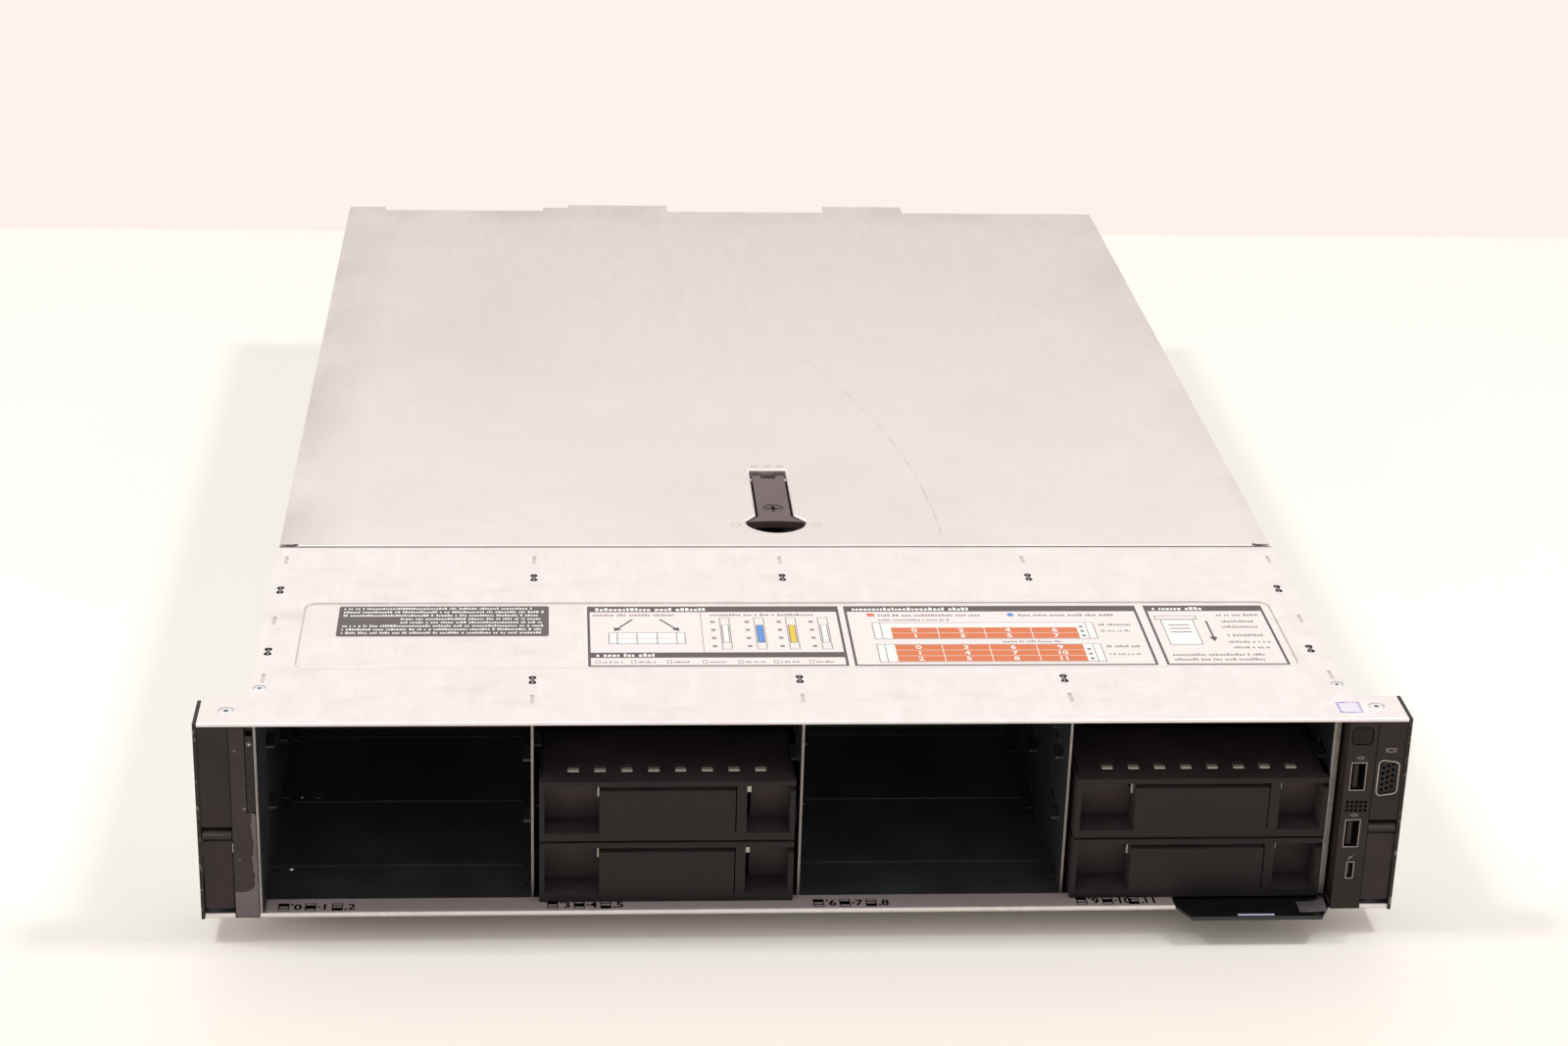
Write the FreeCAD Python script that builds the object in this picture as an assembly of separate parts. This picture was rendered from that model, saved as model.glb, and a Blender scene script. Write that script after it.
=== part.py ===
# Rack server, two units high, with twelve large drive bays at the front.
# Millimetres. X runs to the right seen from the front, Y runs to the back and Z runs up.
# The origin is at mid width, on the rack plane (the back of the ears) and on the underside.
import FreeCAD, Part
import math
import os

# Overall
EAR_WIDTH = 482.0
EAR_OVERHANG = 19.5
HEIGHT = 86.8
EAR_DEPTH = 21.0
SEAM_Y = 153.5
REAR_Y = 664.0
COVER_REAR_GAP = 4.0

# Sheet thicknesses, and the clearances of fixed pieces, moving pieces and pins
SHEET = 1.0
TOP_SHEET = 1.2
FIT = 0.2
RUN = 0.4
PIN_RUN = 0.06

# Folded edges of the tray and the covers
COVER_FLANGE = 14.4
HEM_HEIGHT = 2.4
HEM_DEPTH = 11.5
FLOOR_RIB = (3.0, 0.6)
FLOOR_RIB_Y = (21.0, 77.0)
FLOOR_RIB_REAR_GAP = 8.0
FLOOR_RIB_INSET = 4.0
CORNER_ROUND = 0.8

# Rack mounting
RACK_HOLE_INSET = 8.45
RACK_HOLE_Z = 21.2
RACK_HOLE_RADIUS = 3.5
STUD_Y = (40.0, 250.0, 450.0)
STUD_REAR_GAP = 24.0
STUD_SHANK = (2.7, 2.6)
STUD_HEAD = (4.5, 1.4)

# Ear covers
SIDE_PLATE = 1.4
FACE_SETBACK = 0.5
EAR_SKIN = 2.0
EAR_WALL = 1.4
EAR_GROOVE = 0.5
LEFT_STRIP_WIDTH = 9.5
RIGHT_STRIP_GAP = 1.1
RIGHT_STRIP_WIDTH = 11.8
STATUS_BAR_WIDTH = 3.2
STATUS_BAR_DEPTH = 4.5
STATUS_BAR_RISE = 6.5
STATUS_BAR_TOP_GAP = 1.2
STATUS_BAR_TRAVEL = 0.8

# Rack latches
LATCH_POCKET_DROP = 45.6
LATCH_AXIS_DROP = 4.7
LATCH_LIP_RADIUS = 2.4
LATCH_BOTTOM_Z = 4.3
LATCH_FLAP = 2.0
LATCH_FLAP_SETBACK = 0.5
LATCH_CORNER = 1.0
LATCH_PIN_RADIUS = 0.9
LATCH_SWING = 50.0
HOOK_WIDTH = 1.8
HOOK_HEIGHT = 3.6
HOOK_REACH = 9.0
HOOK_TIP = 4.5
HOOK_RISE = 3.3
LATCH_SPRING_RADIUS = 1.75
LATCH_SPRING_LENGTH = 3.5

# Right ear controls: how far each centre stands inside the strip and below the top
POWER_PLACE = (5.7, 7.9)
POWER_SIZE = (8.0, 7.1)
POWER_ROUND = 1.9
POWER_DEPTH = 4.5
POWER_FLANGE = (1.2, 1.2)
USB_INSET = 5.5
USB_DROP = (26.1, 51.9)
USB_SHELL = (6.5, 12.8)
USB_DEPTH = 13.5
USB_WALL = 0.4
USB_TONGUE = (1.9, 10.4)
TONGUE_SHIFT = 0.125
SERVICE_PLACE = (6.4, 68.8)
SERVICE_SHELL = (3.3, 7.9)
SERVICE_DEPTH = 6.0
SERVICE_TONGUE = (0.8, 5.0)
GRILLE_PLACE = (6.0, 39.4)
GRILLE_COUNT = (5, 3)
GRILLE_PITCH = 1.85
GRILLE_HOLE = 1.2

# Display socket: its centre from the ear's outer side and the top
DISPLAY_PLACE = (7.3, 26.8)
DISPLAY_SHELL = (9.0, 17.0)
DISPLAY_SLANT = 1.3
DISPLAY_ROUND = 2.2
DISPLAY_WALL = 0.6
DISPLAY_DEPTH = 9.0
DISPLAY_RECESS = 0.9

# Drive bays
BAY_INSET = (4.3, 7.1)
COLUMNS = 4
ROW_BOTTOM_Z = 3.0
ROW_GAP = 1.0
ROOF_GAP = 0.8
ROWS = 3
LEFT_SIDE_SETBACK = 0.4
DIVIDER_GAP = 1.0
RIGHT_SIDE_SETBACK = 9.0
RIGHT_SIDE_HEM = (2.8, 2.0)
BACKPLANE_GAP = 7.5
BACKPLANE = 1.6
SHELF_REACH = 3.2
SHELF_LENGTH = 12.0
SHELF_WINDOW = 3.0
SHELF_Y = (4.0, 64.0)
SHELF_REAR_GAP = 28.0
FOOT = (7.0, 9.0)
CONNECTOR = (42.0, 6.0, 6.5)
CONNECTOR_RISE = 8.9
BACKPLANE_VENT = (70.0, 7.0)

# Front top panel: staked tabs, pressed grooves, screw seats and the label recess
TAB_LENGTH = 6.0
TAB_HOLE_RADIUS = 1.6
TAB_WAIST = 1.6
DIVIDER_TAB_Y = 17.4
DIVIDER_TAB_REAR_GAP = 26.8
SIDE_TAB_Y = (45.0, 106.5)
GROOVE = (1.6, 8.0)
GROOVE_DEPTH = 0.5
GROOVE_REAR_GAP = 15.0
SIDE_GROOVE_Y = (20.0, 75.3)
SIDE_GROOVE_INSET = 4.4
EAR_SCREW = (12.0, 11.8, 3.2)
BODY_SCREW = (3.8, 11.0, 2.6)
SCREW_SEAT_DEPTH = 0.5
RECESS_INSET = (16.2, 15.0)
RECESS_Y = (28.6, 93.0)
RECESS_DEPTH = 0.4
RECESS_ROUND = 5.0

# Drive blanks
BLANK_SIDE_GAP = 2.25
BLANK_SETBACK = 6.5
BLANK_DEPTH = 46.0
BLANK_WALL = 1.6
BLANK_TOP_BAR = 2.3
BLANK_BOTTOM_BAR = 3.3
BLANK_RIM = 2.0
POCKET_DEPTH = 14.0
POCKET_SLOPE = 4.0
PAD_INSET = 24.0
PAD_THICKNESS = 4.0
PAD_GROOVE = (2.0, 3.0)
RELEASE_WIDTH = 4.0
RELEASE_SLIT = (0.5, 6.0)
SPRING_SLOT = 2.2
SPRING_PEEP = (1.2, 7.0)
RIM_NOTCH = 2.4
RABBET = 1.2
WINDOW_COUNT = 8
WINDOW = (4.8, 6.0)
WINDOW_SETBACK = 8.6
SPRING_SHEET = 0.4
SPRING_INSET = 7.2
SPRING_END = 6.375
SPRING_MARGIN = 1.6
FINGER_SLOPE = 1.6
BLANK_BAYS = ((1, 1), (1, 0), (3, 1), (3, 0))

# Information tag and its guides
TAG_GAP = 0.7
TAG_WIDTH = 63.0
TAG_PROJECTION = 9.0
TAG_SETBACK = 7.8
TAG_CHAMFER = (4.6, 8.6)
TAG_TOP_Z = 2.4
TAG_LIP = (1.2, 1.8)
CARD_WIDTH = 50.0
CARD_THICKNESS = 0.8
CARD_REAR_Y = 95.0
GUIDE_LIP = (2.0, 0.3)
GUIDE_SETBACK = 15.0
GUIDE_REAR_Y = 92.0

# Sliding cover; each rear tab has two ends and a reach, the corner tab's ends from the left edge
CORNER_NOTCH = (7.0, 2.2)
CORNER_RELIEF = 1.3
TONGUE_INSET = 16.5
TONGUE_DEPTH = 5.0
CORNER_TAB = (0.5, 21.1, 6.0)
MIDDLE_TABS = ((-107.0, -92.0, 6.5), (-92.0, -33.0, 12.0), (60.6, 108.0, 12.0))

# Cover latch, as distances behind the middle of its cup
CUP_SETBACK = 29.8
CUP_RADIUS = 13.8
LEVER_SLOT_HALF = 8.7
LEVER_SLOT_LENGTH = 62.4
FLARE_LENGTH = 7.0
OPENING_CHAMFER = 0.7
PAN_DEPTH = 11.0
PAN_WALL = 1.3
PAN_FLANGE = 3.0
LEVER_SIDE_GAP = 1.2
LEVER_NOSE = (0.4, 1.2)
LEVER_TOP_DROP = 0.9
LEVER_THICKNESS = 3.2
LEVER_HINGE = 56.2
LEVER_BARREL = 2.6
LEVER_PIN_RADIUS = 1.2
LEVER_LUG_GAP = 7.0
LOCK_SETBACK = 16.7
LOCK_RADIUS = 4.6
LOCK_FLANGE = (5.4, 0.8)
LOCK_SLOT = (6.4, 1.4, 0.9)

# Fans
FAN_COUNT = 6
FAN_END_GAP = 23.5
FAN_GAP = 6.0
FAN_SETBACK = 18.5
FAN_DEPTH = 38.0
FAN_WALL = 1.4
FAN_TIP_GAP = 0.8
FAN_ROUND = 4.0
FAN_BASE_Z = 2.2
FAN_CAGE_HEIGHT = 40.0
FAN_CAGE_REACH = 3.0
FAN_HUB = 14.0
FAN_BLADES = 7
FAN_BLADE = (20.0, 1.3)
FAN_ROOT_ANGLE = 52.0
FAN_TIP_ANGLE = 30.0
FAN_BLADE_DEPTH = 20.0
FAN_CUP = (13.0, 5.0)
FAN_STRUT = 3.0
FAN_SHAFT = 1.5

# Power supplies
SUPPLY_COUNT = 2
SUPPLY_SIDE_GAP = 5.0
SUPPLY_GAP = 1.0
SUPPLY_WIDTH = 85.0
SUPPLY_HEIGHT = 40.0
SUPPLY_LENGTH = 190.0
SUPPLY_PROUD = 8.0
SUPPLY_WALL = 1.0
SUPPLY_MOUTH_INSET = 8.0
SUPPLY_CAGE_REACH = 4.0
INLET_INSET = 18.5
INLET = (30.0, 22.0, 18.0)
INLET_MOUTH = (24.0, 16.0, 14.0)
INLET_MOUTH_ROUND = 2.4
INLET_PIN = (2.0, 4.6, 10.0)
INLET_PIN_SPREAD = 7.0
GRILLE_STEP_ASIDE = 38.0
GRILLE_RADIUS = 16.5
GRILLE_SLOT = 2.4
GRILLE_STEP = 4.6
HANDLE_STEP_ASIDE = 32.0
HANDLE = (32.0, 26.0, 6.0)
HANDLE_BAR = 4.0
HANDLE_ROUND = 8.0
RELEASE_INSET = 3.9
RELEASE_ARM = 24.0
RELEASE_LEVER = (2.2, 10.0)
RELEASE_BARREL = 2.6
RELEASE_POST = 1.4
RELEASE_TAB = (14.0, 6.0)
RELEASE_SWING = 8.0

# System board, memory and heat sinks
BOARD_Z = 6.0
BOARD = 1.6
BOARD_SIDE_GAP = 7.5
BOARD_FRONT_GAP = 14.0
BOARD_REAR_GAP = 2.0
STANDOFF_RADIUS = 3.0
STANDOFF_EDGE = 9.0
STANDOFF_INNER_X = 66.0
STANDOFF_SETBACK = (12.0, 106.0)
STANDOFF_REAR_GAP = 58.0
SINK_LENGTH = 108.0
SINK_SETBACK = 96.0
SINK_SIDE_GAP = 7.25
SINK_TOP_GAP = 1.8
SINK_FINS = 18
SINK_FIN = 0.9
SINK_BASE = 5.0
PROCESSOR_LENGTH = 76.0
PROCESSOR_HEIGHT = 6.0
PROCESSOR_MARGIN = 4.0
MODULE = (1.4, 133.0, 31.0)
MODULE_PITCH = 9.2
MODULES_PER_BANK = 6
BANK_INNER_X = 35.5
BANK_EDGE = 33.5
SOCKET = (6.5, 141.0, 8.0)
SOCKET_GROOVE = 3.5
SHROUD = 1.6
SHROUD_INSET = 2.0
SHROUD_LENGTH = 174.0
SHROUD_TOP_GAP = 1.6
SHROUD_SHOULDER = 12.0

# Rear panel, risers and slot covers
RISER_SIDE_GAP = (8.5, 10.5)
RISER_GAP = 10.0
RISER_CAGE_GAP = 10.1
RISER_LENGTH = 164.0
SLOT_TOP_GAP = 2.0
SLOT_LOW_GAP = 2.6
SLOT_GAP = 1.8
SLOT_WINDOW_INSET = (4.0, 2.6)
SLOT_SHEET = 0.9
SLOT_VENTS = 9
SLOT_VENT = (7.0, 3.2)
VENT_GRID = (5, 4)
VENT_EDGE = 6.5
VENT_WEB = 2.4
VENT_HEIGHT = 5.0
PANEL_FLANGE = 12.0

# Rear ports on the board, in groups of one kind and a count from the left
PORT_PROUD = 0.6
PORT_GROUPS = (("network", 4), ("network", 1), ("usb", 2), ("d", 1), ("d", 1))
NETWORK = (15.4, 13.2, 20.0)
NETWORK_MOUTH = (11.8, 9.0, 13.0)
NETWORK_GAP = 1.6
REAR_USB = (13.0, 6.2, 15.0)
REAR_USB_GAP = 6.0
REAR_D = (17.0, 9.0, 12.0)
REAR_WALL = 0.5

# Derived outline of the body
half_ear = EAR_WIDTH / 2
half_body = half_ear - EAR_OVERHANG
front_y = -EAR_DEPTH
cover_rear_y = REAR_Y - COVER_REAR_GAP
under_top = HEIGHT - TOP_SHEET
wall_top = under_top - RUN
flange_low = HEIGHT - COVER_FLANGE
joggle_z = flange_low - RUN
lower_in = half_body - SHEET
upper_out = half_body - TOP_SHEET - RUN
upper_in = upper_out - SHEET
rack_hole_x = half_ear - RACK_HOLE_INSET
stud_y = STUD_Y + (REAR_Y - STUD_REAR_GAP,)
stud_z = HEIGHT / 2

# Derived places of the bays and the front panel
column_pitch = (2 * half_body - BAY_INSET[0] - BAY_INSET[1]) / COLUMNS
bay_walls = [BAY_INSET[0] - half_body + i * column_pitch for i in range(COLUMNS + 1)]
row_pitch = (under_top - ROOF_GAP + ROW_GAP - ROW_BOTTOM_Z) / ROWS
backplane_y = SEAM_Y - BACKPLANE_GAP
divider_front_y = front_y + HEM_DEPTH + DIVIDER_GAP
right_side_front_y = front_y + RIGHT_SIDE_SETBACK
shelf_starts = SHELF_Y + (backplane_y - SHELF_REAR_GAP,)
floor_rib_y = FLOOR_RIB_Y + (backplane_y - FLOOR_RIB_REAR_GAP,)
divider_tab_y = (DIVIDER_TAB_Y, backplane_y - DIVIDER_TAB_REAR_GAP)
divider_groove_y = (0.0, SEAM_Y - GROOVE_REAR_GAP)
side_groove_y = SIDE_GROOVE_Y + (SEAM_Y - GROOVE_REAR_GAP,)
side_groove_x = half_body - SIDE_GROOVE_INSET
recess_x = (RECESS_INSET[0] - half_body, half_body - RECESS_INSET[1])
blank_width = column_pitch - SHEET - 2 * BLANK_SIDE_GAP
blank_height = row_pitch - ROW_GAP
blank_front_y = front_y + BLANK_SETBACK
pad_width = blank_width - 2 * PAD_INSET
spring_half = blank_width / 2 - SPRING_INSET
window_pitch = 2 * (spring_half - SPRING_END) / (WINDOW_COUNT - 1)

# Derived places of the ears and their controls
ear_in = half_ear - SIDE_PLATE
ear_floor = ear_in - FIT
face_y = front_y + FACE_SETBACK
latch_y = face_y + LATCH_LIP_RADIUS
latch_pocket_top = HEIGHT - LATCH_POCKET_DROP
latch_axis_z = latch_pocket_top - LATCH_AXIS_DROP
hem_radius = HEM_HEIGHT / 2
hem_y = front_y + hem_radius
left_strip_inner = SHEET / 2 + FIT - bay_walls[0]
left_split = left_strip_inner + LEFT_STRIP_WIDTH
right_strip_inner = bay_walls[-1] + SHEET / 2 + RIGHT_STRIP_GAP
right_split = right_strip_inner + RIGHT_STRIP_WIDTH
status_bar_z = (latch_pocket_top + STATUS_BAR_RISE, under_top - STATUS_BAR_TOP_GAP)
power_centre = (right_strip_inner + POWER_PLACE[0], HEIGHT - POWER_PLACE[1])
usb_centres = [(right_strip_inner + USB_INSET, HEIGHT - drop) for drop in USB_DROP]
service_centre = (right_strip_inner + SERVICE_PLACE[0], HEIGHT - SERVICE_PLACE[1])
grille_centre = (right_strip_inner + GRILLE_PLACE[0], HEIGHT - GRILLE_PLACE[1])
display_centre = (half_ear - DISPLAY_PLACE[0], HEIGHT - DISPLAY_PLACE[1])
tag_centre_x = right_strip_inner - TAG_GAP - TAG_WIDTH / 2
tag_back_y = front_y + TAG_SETBACK
guide_y = (front_y + GUIDE_SETBACK, GUIDE_REAR_Y)

# Derived places of the cover and its latch
tongue_half = half_body - TONGUE_INSET
corner_tab = (CORNER_TAB[0] - half_body, CORNER_TAB[1] - half_body, CORNER_TAB[2])
latch_cup_y = SEAM_Y + CUP_SETBACK
lever_slot_rear = latch_cup_y + LEVER_SLOT_LENGTH
lever_neck_y = latch_cup_y + FLARE_LENGTH
lever_half = LEVER_SLOT_HALF - LEVER_SIDE_GAP
lever_flare = CUP_RADIUS - LEVER_SIDE_GAP
lever_hinge_y = latch_cup_y + LEVER_HINGE
lever_top = HEIGHT - LEVER_TOP_DROP
lever_hinge_z = lever_top - LEVER_BARREL
lock_y = latch_cup_y + LOCK_SETBACK
pan_low = under_top - PAN_DEPTH

# Derived places of the fans and the power supplies
fan_pitch = 2 * (half_body - FAN_END_GAP) / FAN_COUNT
fan_size = fan_pitch - FAN_GAP
fan_bore = fan_size / 2 - FAN_WALL
fan_tip = fan_bore - FAN_TIP_GAP
fan_front_y = SEAM_Y + FAN_SETBACK
supply_rear_y = REAR_Y + SUPPLY_PROUD
supply_front_y = supply_rear_y - SUPPLY_LENGTH
supply_cage_front_y = supply_front_y - SUPPLY_CAGE_REACH
supply_first_x = SUPPLY_SIDE_GAP + SUPPLY_WIDTH / 2 - half_body
supply_places = [supply_first_x + i * (SUPPLY_WIDTH + SUPPLY_GAP) for i in range(SUPPLY_COUNT)]
supply_z = (SHEET + RUN, SHEET + RUN + SUPPLY_HEIGHT)
supply_cage_z = supply_z[1] + RUN
supply_cage_right = supply_places[-1] + SUPPLY_WIDTH / 2 + RUN
inlet_offset = INLET_INSET - SUPPLY_WIDTH / 2
grille_offset = inlet_offset + GRILLE_STEP_ASIDE
handle_offset = inlet_offset + HANDLE_STEP_ASIDE
release_offset = SUPPLY_WIDTH / 2 - RELEASE_INSET
release_pivot_y = supply_rear_y - RELEASE_ARM

# Derived places of the board and what it carries
board_top = BOARD_Z + BOARD
board_half = half_body - BOARD_SIDE_GAP
board_y = (fan_front_y + FAN_DEPTH + BOARD_FRONT_GAP, REAR_Y - BOARD_REAR_GAP)
standoff_x = [side * x for side in (-1, 1) for x in (board_half - STANDOFF_EDGE, STANDOFF_INNER_X)]
standoff_y = [board_y[0] + setback for setback in STANDOFF_SETBACK]
standoff_y.append(supply_cage_front_y - STANDOFF_REAR_GAP)
bank_outer_x = board_half - BANK_EDGE
bank_width = (MODULES_PER_BANK - 1) * MODULE_PITCH + SOCKET[0]
sink_x = (bank_outer_x + BANK_INNER_X) / 2
sink_y = board_y[0] + SINK_SETBACK
sink_width = bank_outer_x - BANK_INNER_X - bank_width - 2 * SINK_SIDE_GAP
processor_width = sink_width - 2 * PROCESSOR_MARGIN
processor_top = board_top + PROCESSOR_HEIGHT
shroud_half = board_half - SHROUD_INSET
shroud_y = (board_y[0] + SHROUD_INSET, board_y[0] + SHROUD_INSET + SHROUD_LENGTH)
shroud_top = pan_low - SHROUD_TOP_GAP
sink_top = shroud_top - SHROUD - SINK_TOP_GAP

# Derived places of the risers and slots
riser_front_y = REAR_Y - RISER_LENGTH
riser_middle_left = supply_cage_right + RISER_CAGE_GAP
slot_length = (half_body - RISER_SIDE_GAP[1] - RISER_GAP - riser_middle_left) / 2
riser_lefts = (RISER_SIDE_GAP[0] - half_body, riser_middle_left, half_body - RISER_SIDE_GAP[1] - slot_length)
riser_x = [left + slot_length / 2 for left in riser_lefts]
slot_z = (supply_cage_z + SHEET + SLOT_LOW_GAP, under_top - SLOT_TOP_GAP)
slot_height = (slot_z[1] - slot_z[0] - SLOT_GAP) / 2

AXES = {"X": FreeCAD.Vector(1, 0, 0), "Y": FreeCAD.Vector(0, 1, 0), "Z": FreeCAD.Vector(0, 0, 1)}


def place(axis, along, u, v):
    """Point at a distance along one axis, with u and v on the other two in X, Y, Z order."""
    if axis == "X":
        return FreeCAD.Vector(along, u, v)
    if axis == "Y":
        return FreeCAD.Vector(u, along, v)
    return FreeCAD.Vector(u, v, along)


def span(centre, width):
    """Low and high ends of a width about its centre."""
    return (centre - width / 2, centre + width / 2)


def block(x, y, z):
    """Box between the two ends given for each axis."""
    corner = FreeCAD.Vector(x[0], y[0], z[0])
    return Part.makeBox(x[1] - x[0], y[1] - y[0], z[1] - z[0], corner)


def rod(axis, centre, radius, ends):
    """Round bar along an axis."""
    return Part.makeCylinder(radius, ends[1] - ends[0], place(axis, ends[0], *centre), AXES[axis])


def prism(axis, points, ends):
    """Closed outline of straight sides drawn across an axis and extruded along it."""
    corners = [place(axis, ends[0], u, v) for u, v in points]
    face = Part.Face(Part.makePolygon(corners + corners[:1]))
    return face.extrude(AXES[axis] * (ends[1] - ends[0]))


def round_edges(body, axis, radius):
    """Round the edges of a body that run along an axis."""
    edges = [edge for edge in body.Edges if abs(edge.tangentAt(edge.FirstParameter).dot(AXES[axis])) > 0.99]
    return body.makeFillet(radius, edges)


def rounded(x, y, z, axis, radius):
    """Box with its four edges along an axis rounded."""
    return round_edges(block(x, y, z), axis, radius)


def join(pieces):
    """One solid from pieces that touch or overlap."""
    return pieces[0].multiFuse(pieces[1:]).removeSplitter()


def mirrored(body):
    """The same piece on the other side of the mid plane."""
    return body.mirror(FreeCAD.Vector(0, 0, 0), AXES["X"])


def shifted(body, x, y, z):
    """Copy of a piece moved by a distance along each axis."""
    copy = body.copy()
    copy.translate(FreeCAD.Vector(x, y, z))
    return copy


def save(name, pieces):
    """Write the solids of one named piece."""
    Part.makeCompound(pieces).exportStep("parts/" + name + ".step")


def chassis_tray():
    """Folded tray: floor, joggled walls, rack flanges, hemmed front edge, ribs and pressed standoffs."""
    right = [(half_body, 0), (half_body, joggle_z), (upper_out, joggle_z), (upper_out, wall_top),
             (upper_in, wall_top), (upper_in, joggle_z - SHEET),
             (lower_in, joggle_z - SHEET), (lower_in, SHEET)]
    left = [(-x, z) for x, z in reversed(right)]
    width = (-ear_floor, ear_floor)
    fold = rod("X", (hem_y, hem_radius), hem_radius, width)
    fold = fold.cut([rod("X", (hem_y, hem_radius), hem_radius - SHEET, width),
                     block(width, (hem_y, 0), (0, HEM_HEIGHT))])
    pieces = [prism("Y", right + left, (0, REAR_Y)), fold, block(width, (hem_y, 0), (0, SHEET)),
              block(width, (hem_y, front_y + HEM_DEPTH), (HEM_HEIGHT - SHEET, HEM_HEIGHT)),
              block((-ear_floor, -lower_in), (-SHEET, 0), (0, wall_top)),
              block((lower_in, ear_floor), (-SHEET, 0), (0, wall_top))]
    for column in range(COLUMNS - 1):
        rib_x = (bay_walls[column] + FLOOR_RIB_INSET, bay_walls[column + 1] - FLOOR_RIB_INSET)
        pieces += [block(rib_x, span(y, FLOOR_RIB[0]), (SHEET, SHEET + FLOOR_RIB[1])) for y in floor_rib_y]
    pieces += [rod("Z", (x, y), STANDOFF_RADIUS, (SHEET, BOARD_Z)) for x in standoff_x for y in standoff_y]
    cuts = []
    for side, inner, split in ((-1, left_strip_inner, left_split), (1, right_strip_inner, right_split)):
        notch_x = sorted((side * (inner - FIT), side * (split + FIT)))
        cuts.append(block(notch_x, (front_y - 1, face_y + EAR_SKIN + FIT), (-1, HEM_HEIGHT + 1)))
        hole = (side * rack_hole_x, RACK_HOLE_Z)
        cuts.append(rod("Y", hole, RACK_HOLE_RADIUS, (-SHEET - 1, 1)))
        arm_x = sorted((side * (ear_in - HOOK_WIDTH - 2 * RUN), side * (ear_in + 1)))
        arm_drop = (HOOK_REACH - latch_y) * math.sin(math.radians(LATCH_SWING)) + 2 * HOOK_HEIGHT
        arm_z = (latch_axis_z - arm_drop, latch_axis_z + HOOK_HEIGHT / 2 + HOOK_RISE + RUN)
        cuts.append(block(arm_x, (-SHEET - 1, 1), arm_z))
    tag_x = (tag_centre_x - TAG_WIDTH / 2 - RUN, right_strip_inner - FIT)
    cuts.append(block(tag_x, (front_y - 1, front_y + HEM_DEPTH + 1), (SHEET, HEM_HEIGHT + 1)))
    return join(pieces).cut(cuts)


def staked_hole(x, y):
    """Waisted hole in the top panel where a divider's tab comes through and is spread."""
    end = TAB_LENGTH / 2 - TAB_HOLE_RADIUS / 2
    depth = (under_top - 1, HEIGHT + 1)
    return join([rod("Z", (x, y - end), TAB_HOLE_RADIUS, depth), rod("Z", (x, y + end), TAB_HOLE_RADIUS, depth),
                 block(span(x, TAB_WAIST), span(y, 2 * end), depth)])


def front_top_panel():
    """Fixed panel over the bays, with wings over the ears, side flanges, staked holes and a label recess."""
    panel_rear = SEAM_Y - FIT
    outline = [(-ear_floor, front_y), (ear_floor, front_y), (ear_floor, 0), (half_body, 0),
               (half_body, panel_rear), (-half_body, panel_rear), (-half_body, 0), (-ear_floor, 0)]
    plate = prism("Z", outline, (under_top, HEIGHT))
    front_edge = [edge for edge in plate.Edges
                  if edge.BoundBox.YMax < front_y + FIT and edge.BoundBox.ZMin > HEIGHT - FIT]
    plate = plate.makeFillet(CORNER_ROUND, front_edge)
    flange = block((half_body - TOP_SHEET, half_body), (0, panel_rear), (flange_low, HEIGHT))
    cuts = [rounded(recess_x, RECESS_Y, (HEIGHT - RECESS_DEPTH, HEIGHT + 1), "Z", RECESS_ROUND)]
    for x in bay_walls[1:-1]:
        cuts += [staked_hole(x, y) for y in divider_tab_y]
        cuts += [block(span(x, GROOVE[0]), span(y, GROOVE[1]), (HEIGHT - GROOVE_DEPTH, HEIGHT + 1))
                 for y in divider_groove_y]
    for x in (bay_walls[0], bay_walls[-1]):
        cuts += [staked_hole(x, y) for y in SIDE_TAB_Y]
    for x in (-side_groove_x, side_groove_x):
        cuts += [block(span(x, GROOVE[0]), span(y, GROOVE[1]), (HEIGHT - GROOVE_DEPTH, HEIGHT + 1))
                 for y in side_groove_y]
    for seat_x, seat_y, radius in ((half_ear - EAR_SCREW[0], front_y + EAR_SCREW[1], EAR_SCREW[2]),
                                   (half_body - BODY_SCREW[0], BODY_SCREW[1], BODY_SCREW[2])):
        cuts += [rod("Z", (side * seat_x, seat_y), radius, (HEIGHT - SCREW_SEAT_DEPTH, HEIGHT + 1))
                 for side in (-1, 1)]
    return join([plate, flange, mirrored(flange)]).cut(cuts)


def bay_wall(x, front, tab_y, left_shelves, right_shelves):
    """Pieces of an upright bay wall with staked tabs and lanced shelves, and the windows the shelves leave."""
    rear = backplane_y - FIT
    plate_x = span(x, SHEET)
    pieces = [block(plate_x, (front, rear), (SHEET, under_top))]
    pieces += [block(plate_x, span(y, TAB_LENGTH), (under_top, HEIGHT - FIT)) for y in tab_y]
    windows = []
    for row in range(ROWS):
        shelf_top = ROW_BOTTOM_Z + row * row_pitch - FIT
        for start in shelf_starts:
            for used, offset, shelf_x in ((left_shelves, 0, (plate_x[0] - SHELF_REACH, plate_x[0])),
                                          (right_shelves, 1, (plate_x[1], plate_x[1] + SHELF_REACH))):
                if not used:
                    continue
                low = start + offset * (SHELF_LENGTH + SHEET)
                shelf_y = (low, low + SHELF_LENGTH)
                pieces.append(block(shelf_x, shelf_y, (shelf_top - SHEET, shelf_top)))
                windows.append(block(plate_x, shelf_y, (shelf_top, shelf_top + SHELF_WINDOW)))
    return pieces, windows


def bay_divider(x):
    """Divider between two columns, with a foot flange on its left."""
    pieces, windows = bay_wall(x, divider_front_y, divider_tab_y, True, True)
    foot_x = (x - SHEET / 2 - FOOT[0], x)
    foot_y = front_y + HEM_DEPTH + FIT
    pieces.append(block(foot_x, (foot_y, foot_y + FOOT[1]), (SHEET, 2 * SHEET)))
    return join(pieces).cut(windows)


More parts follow.
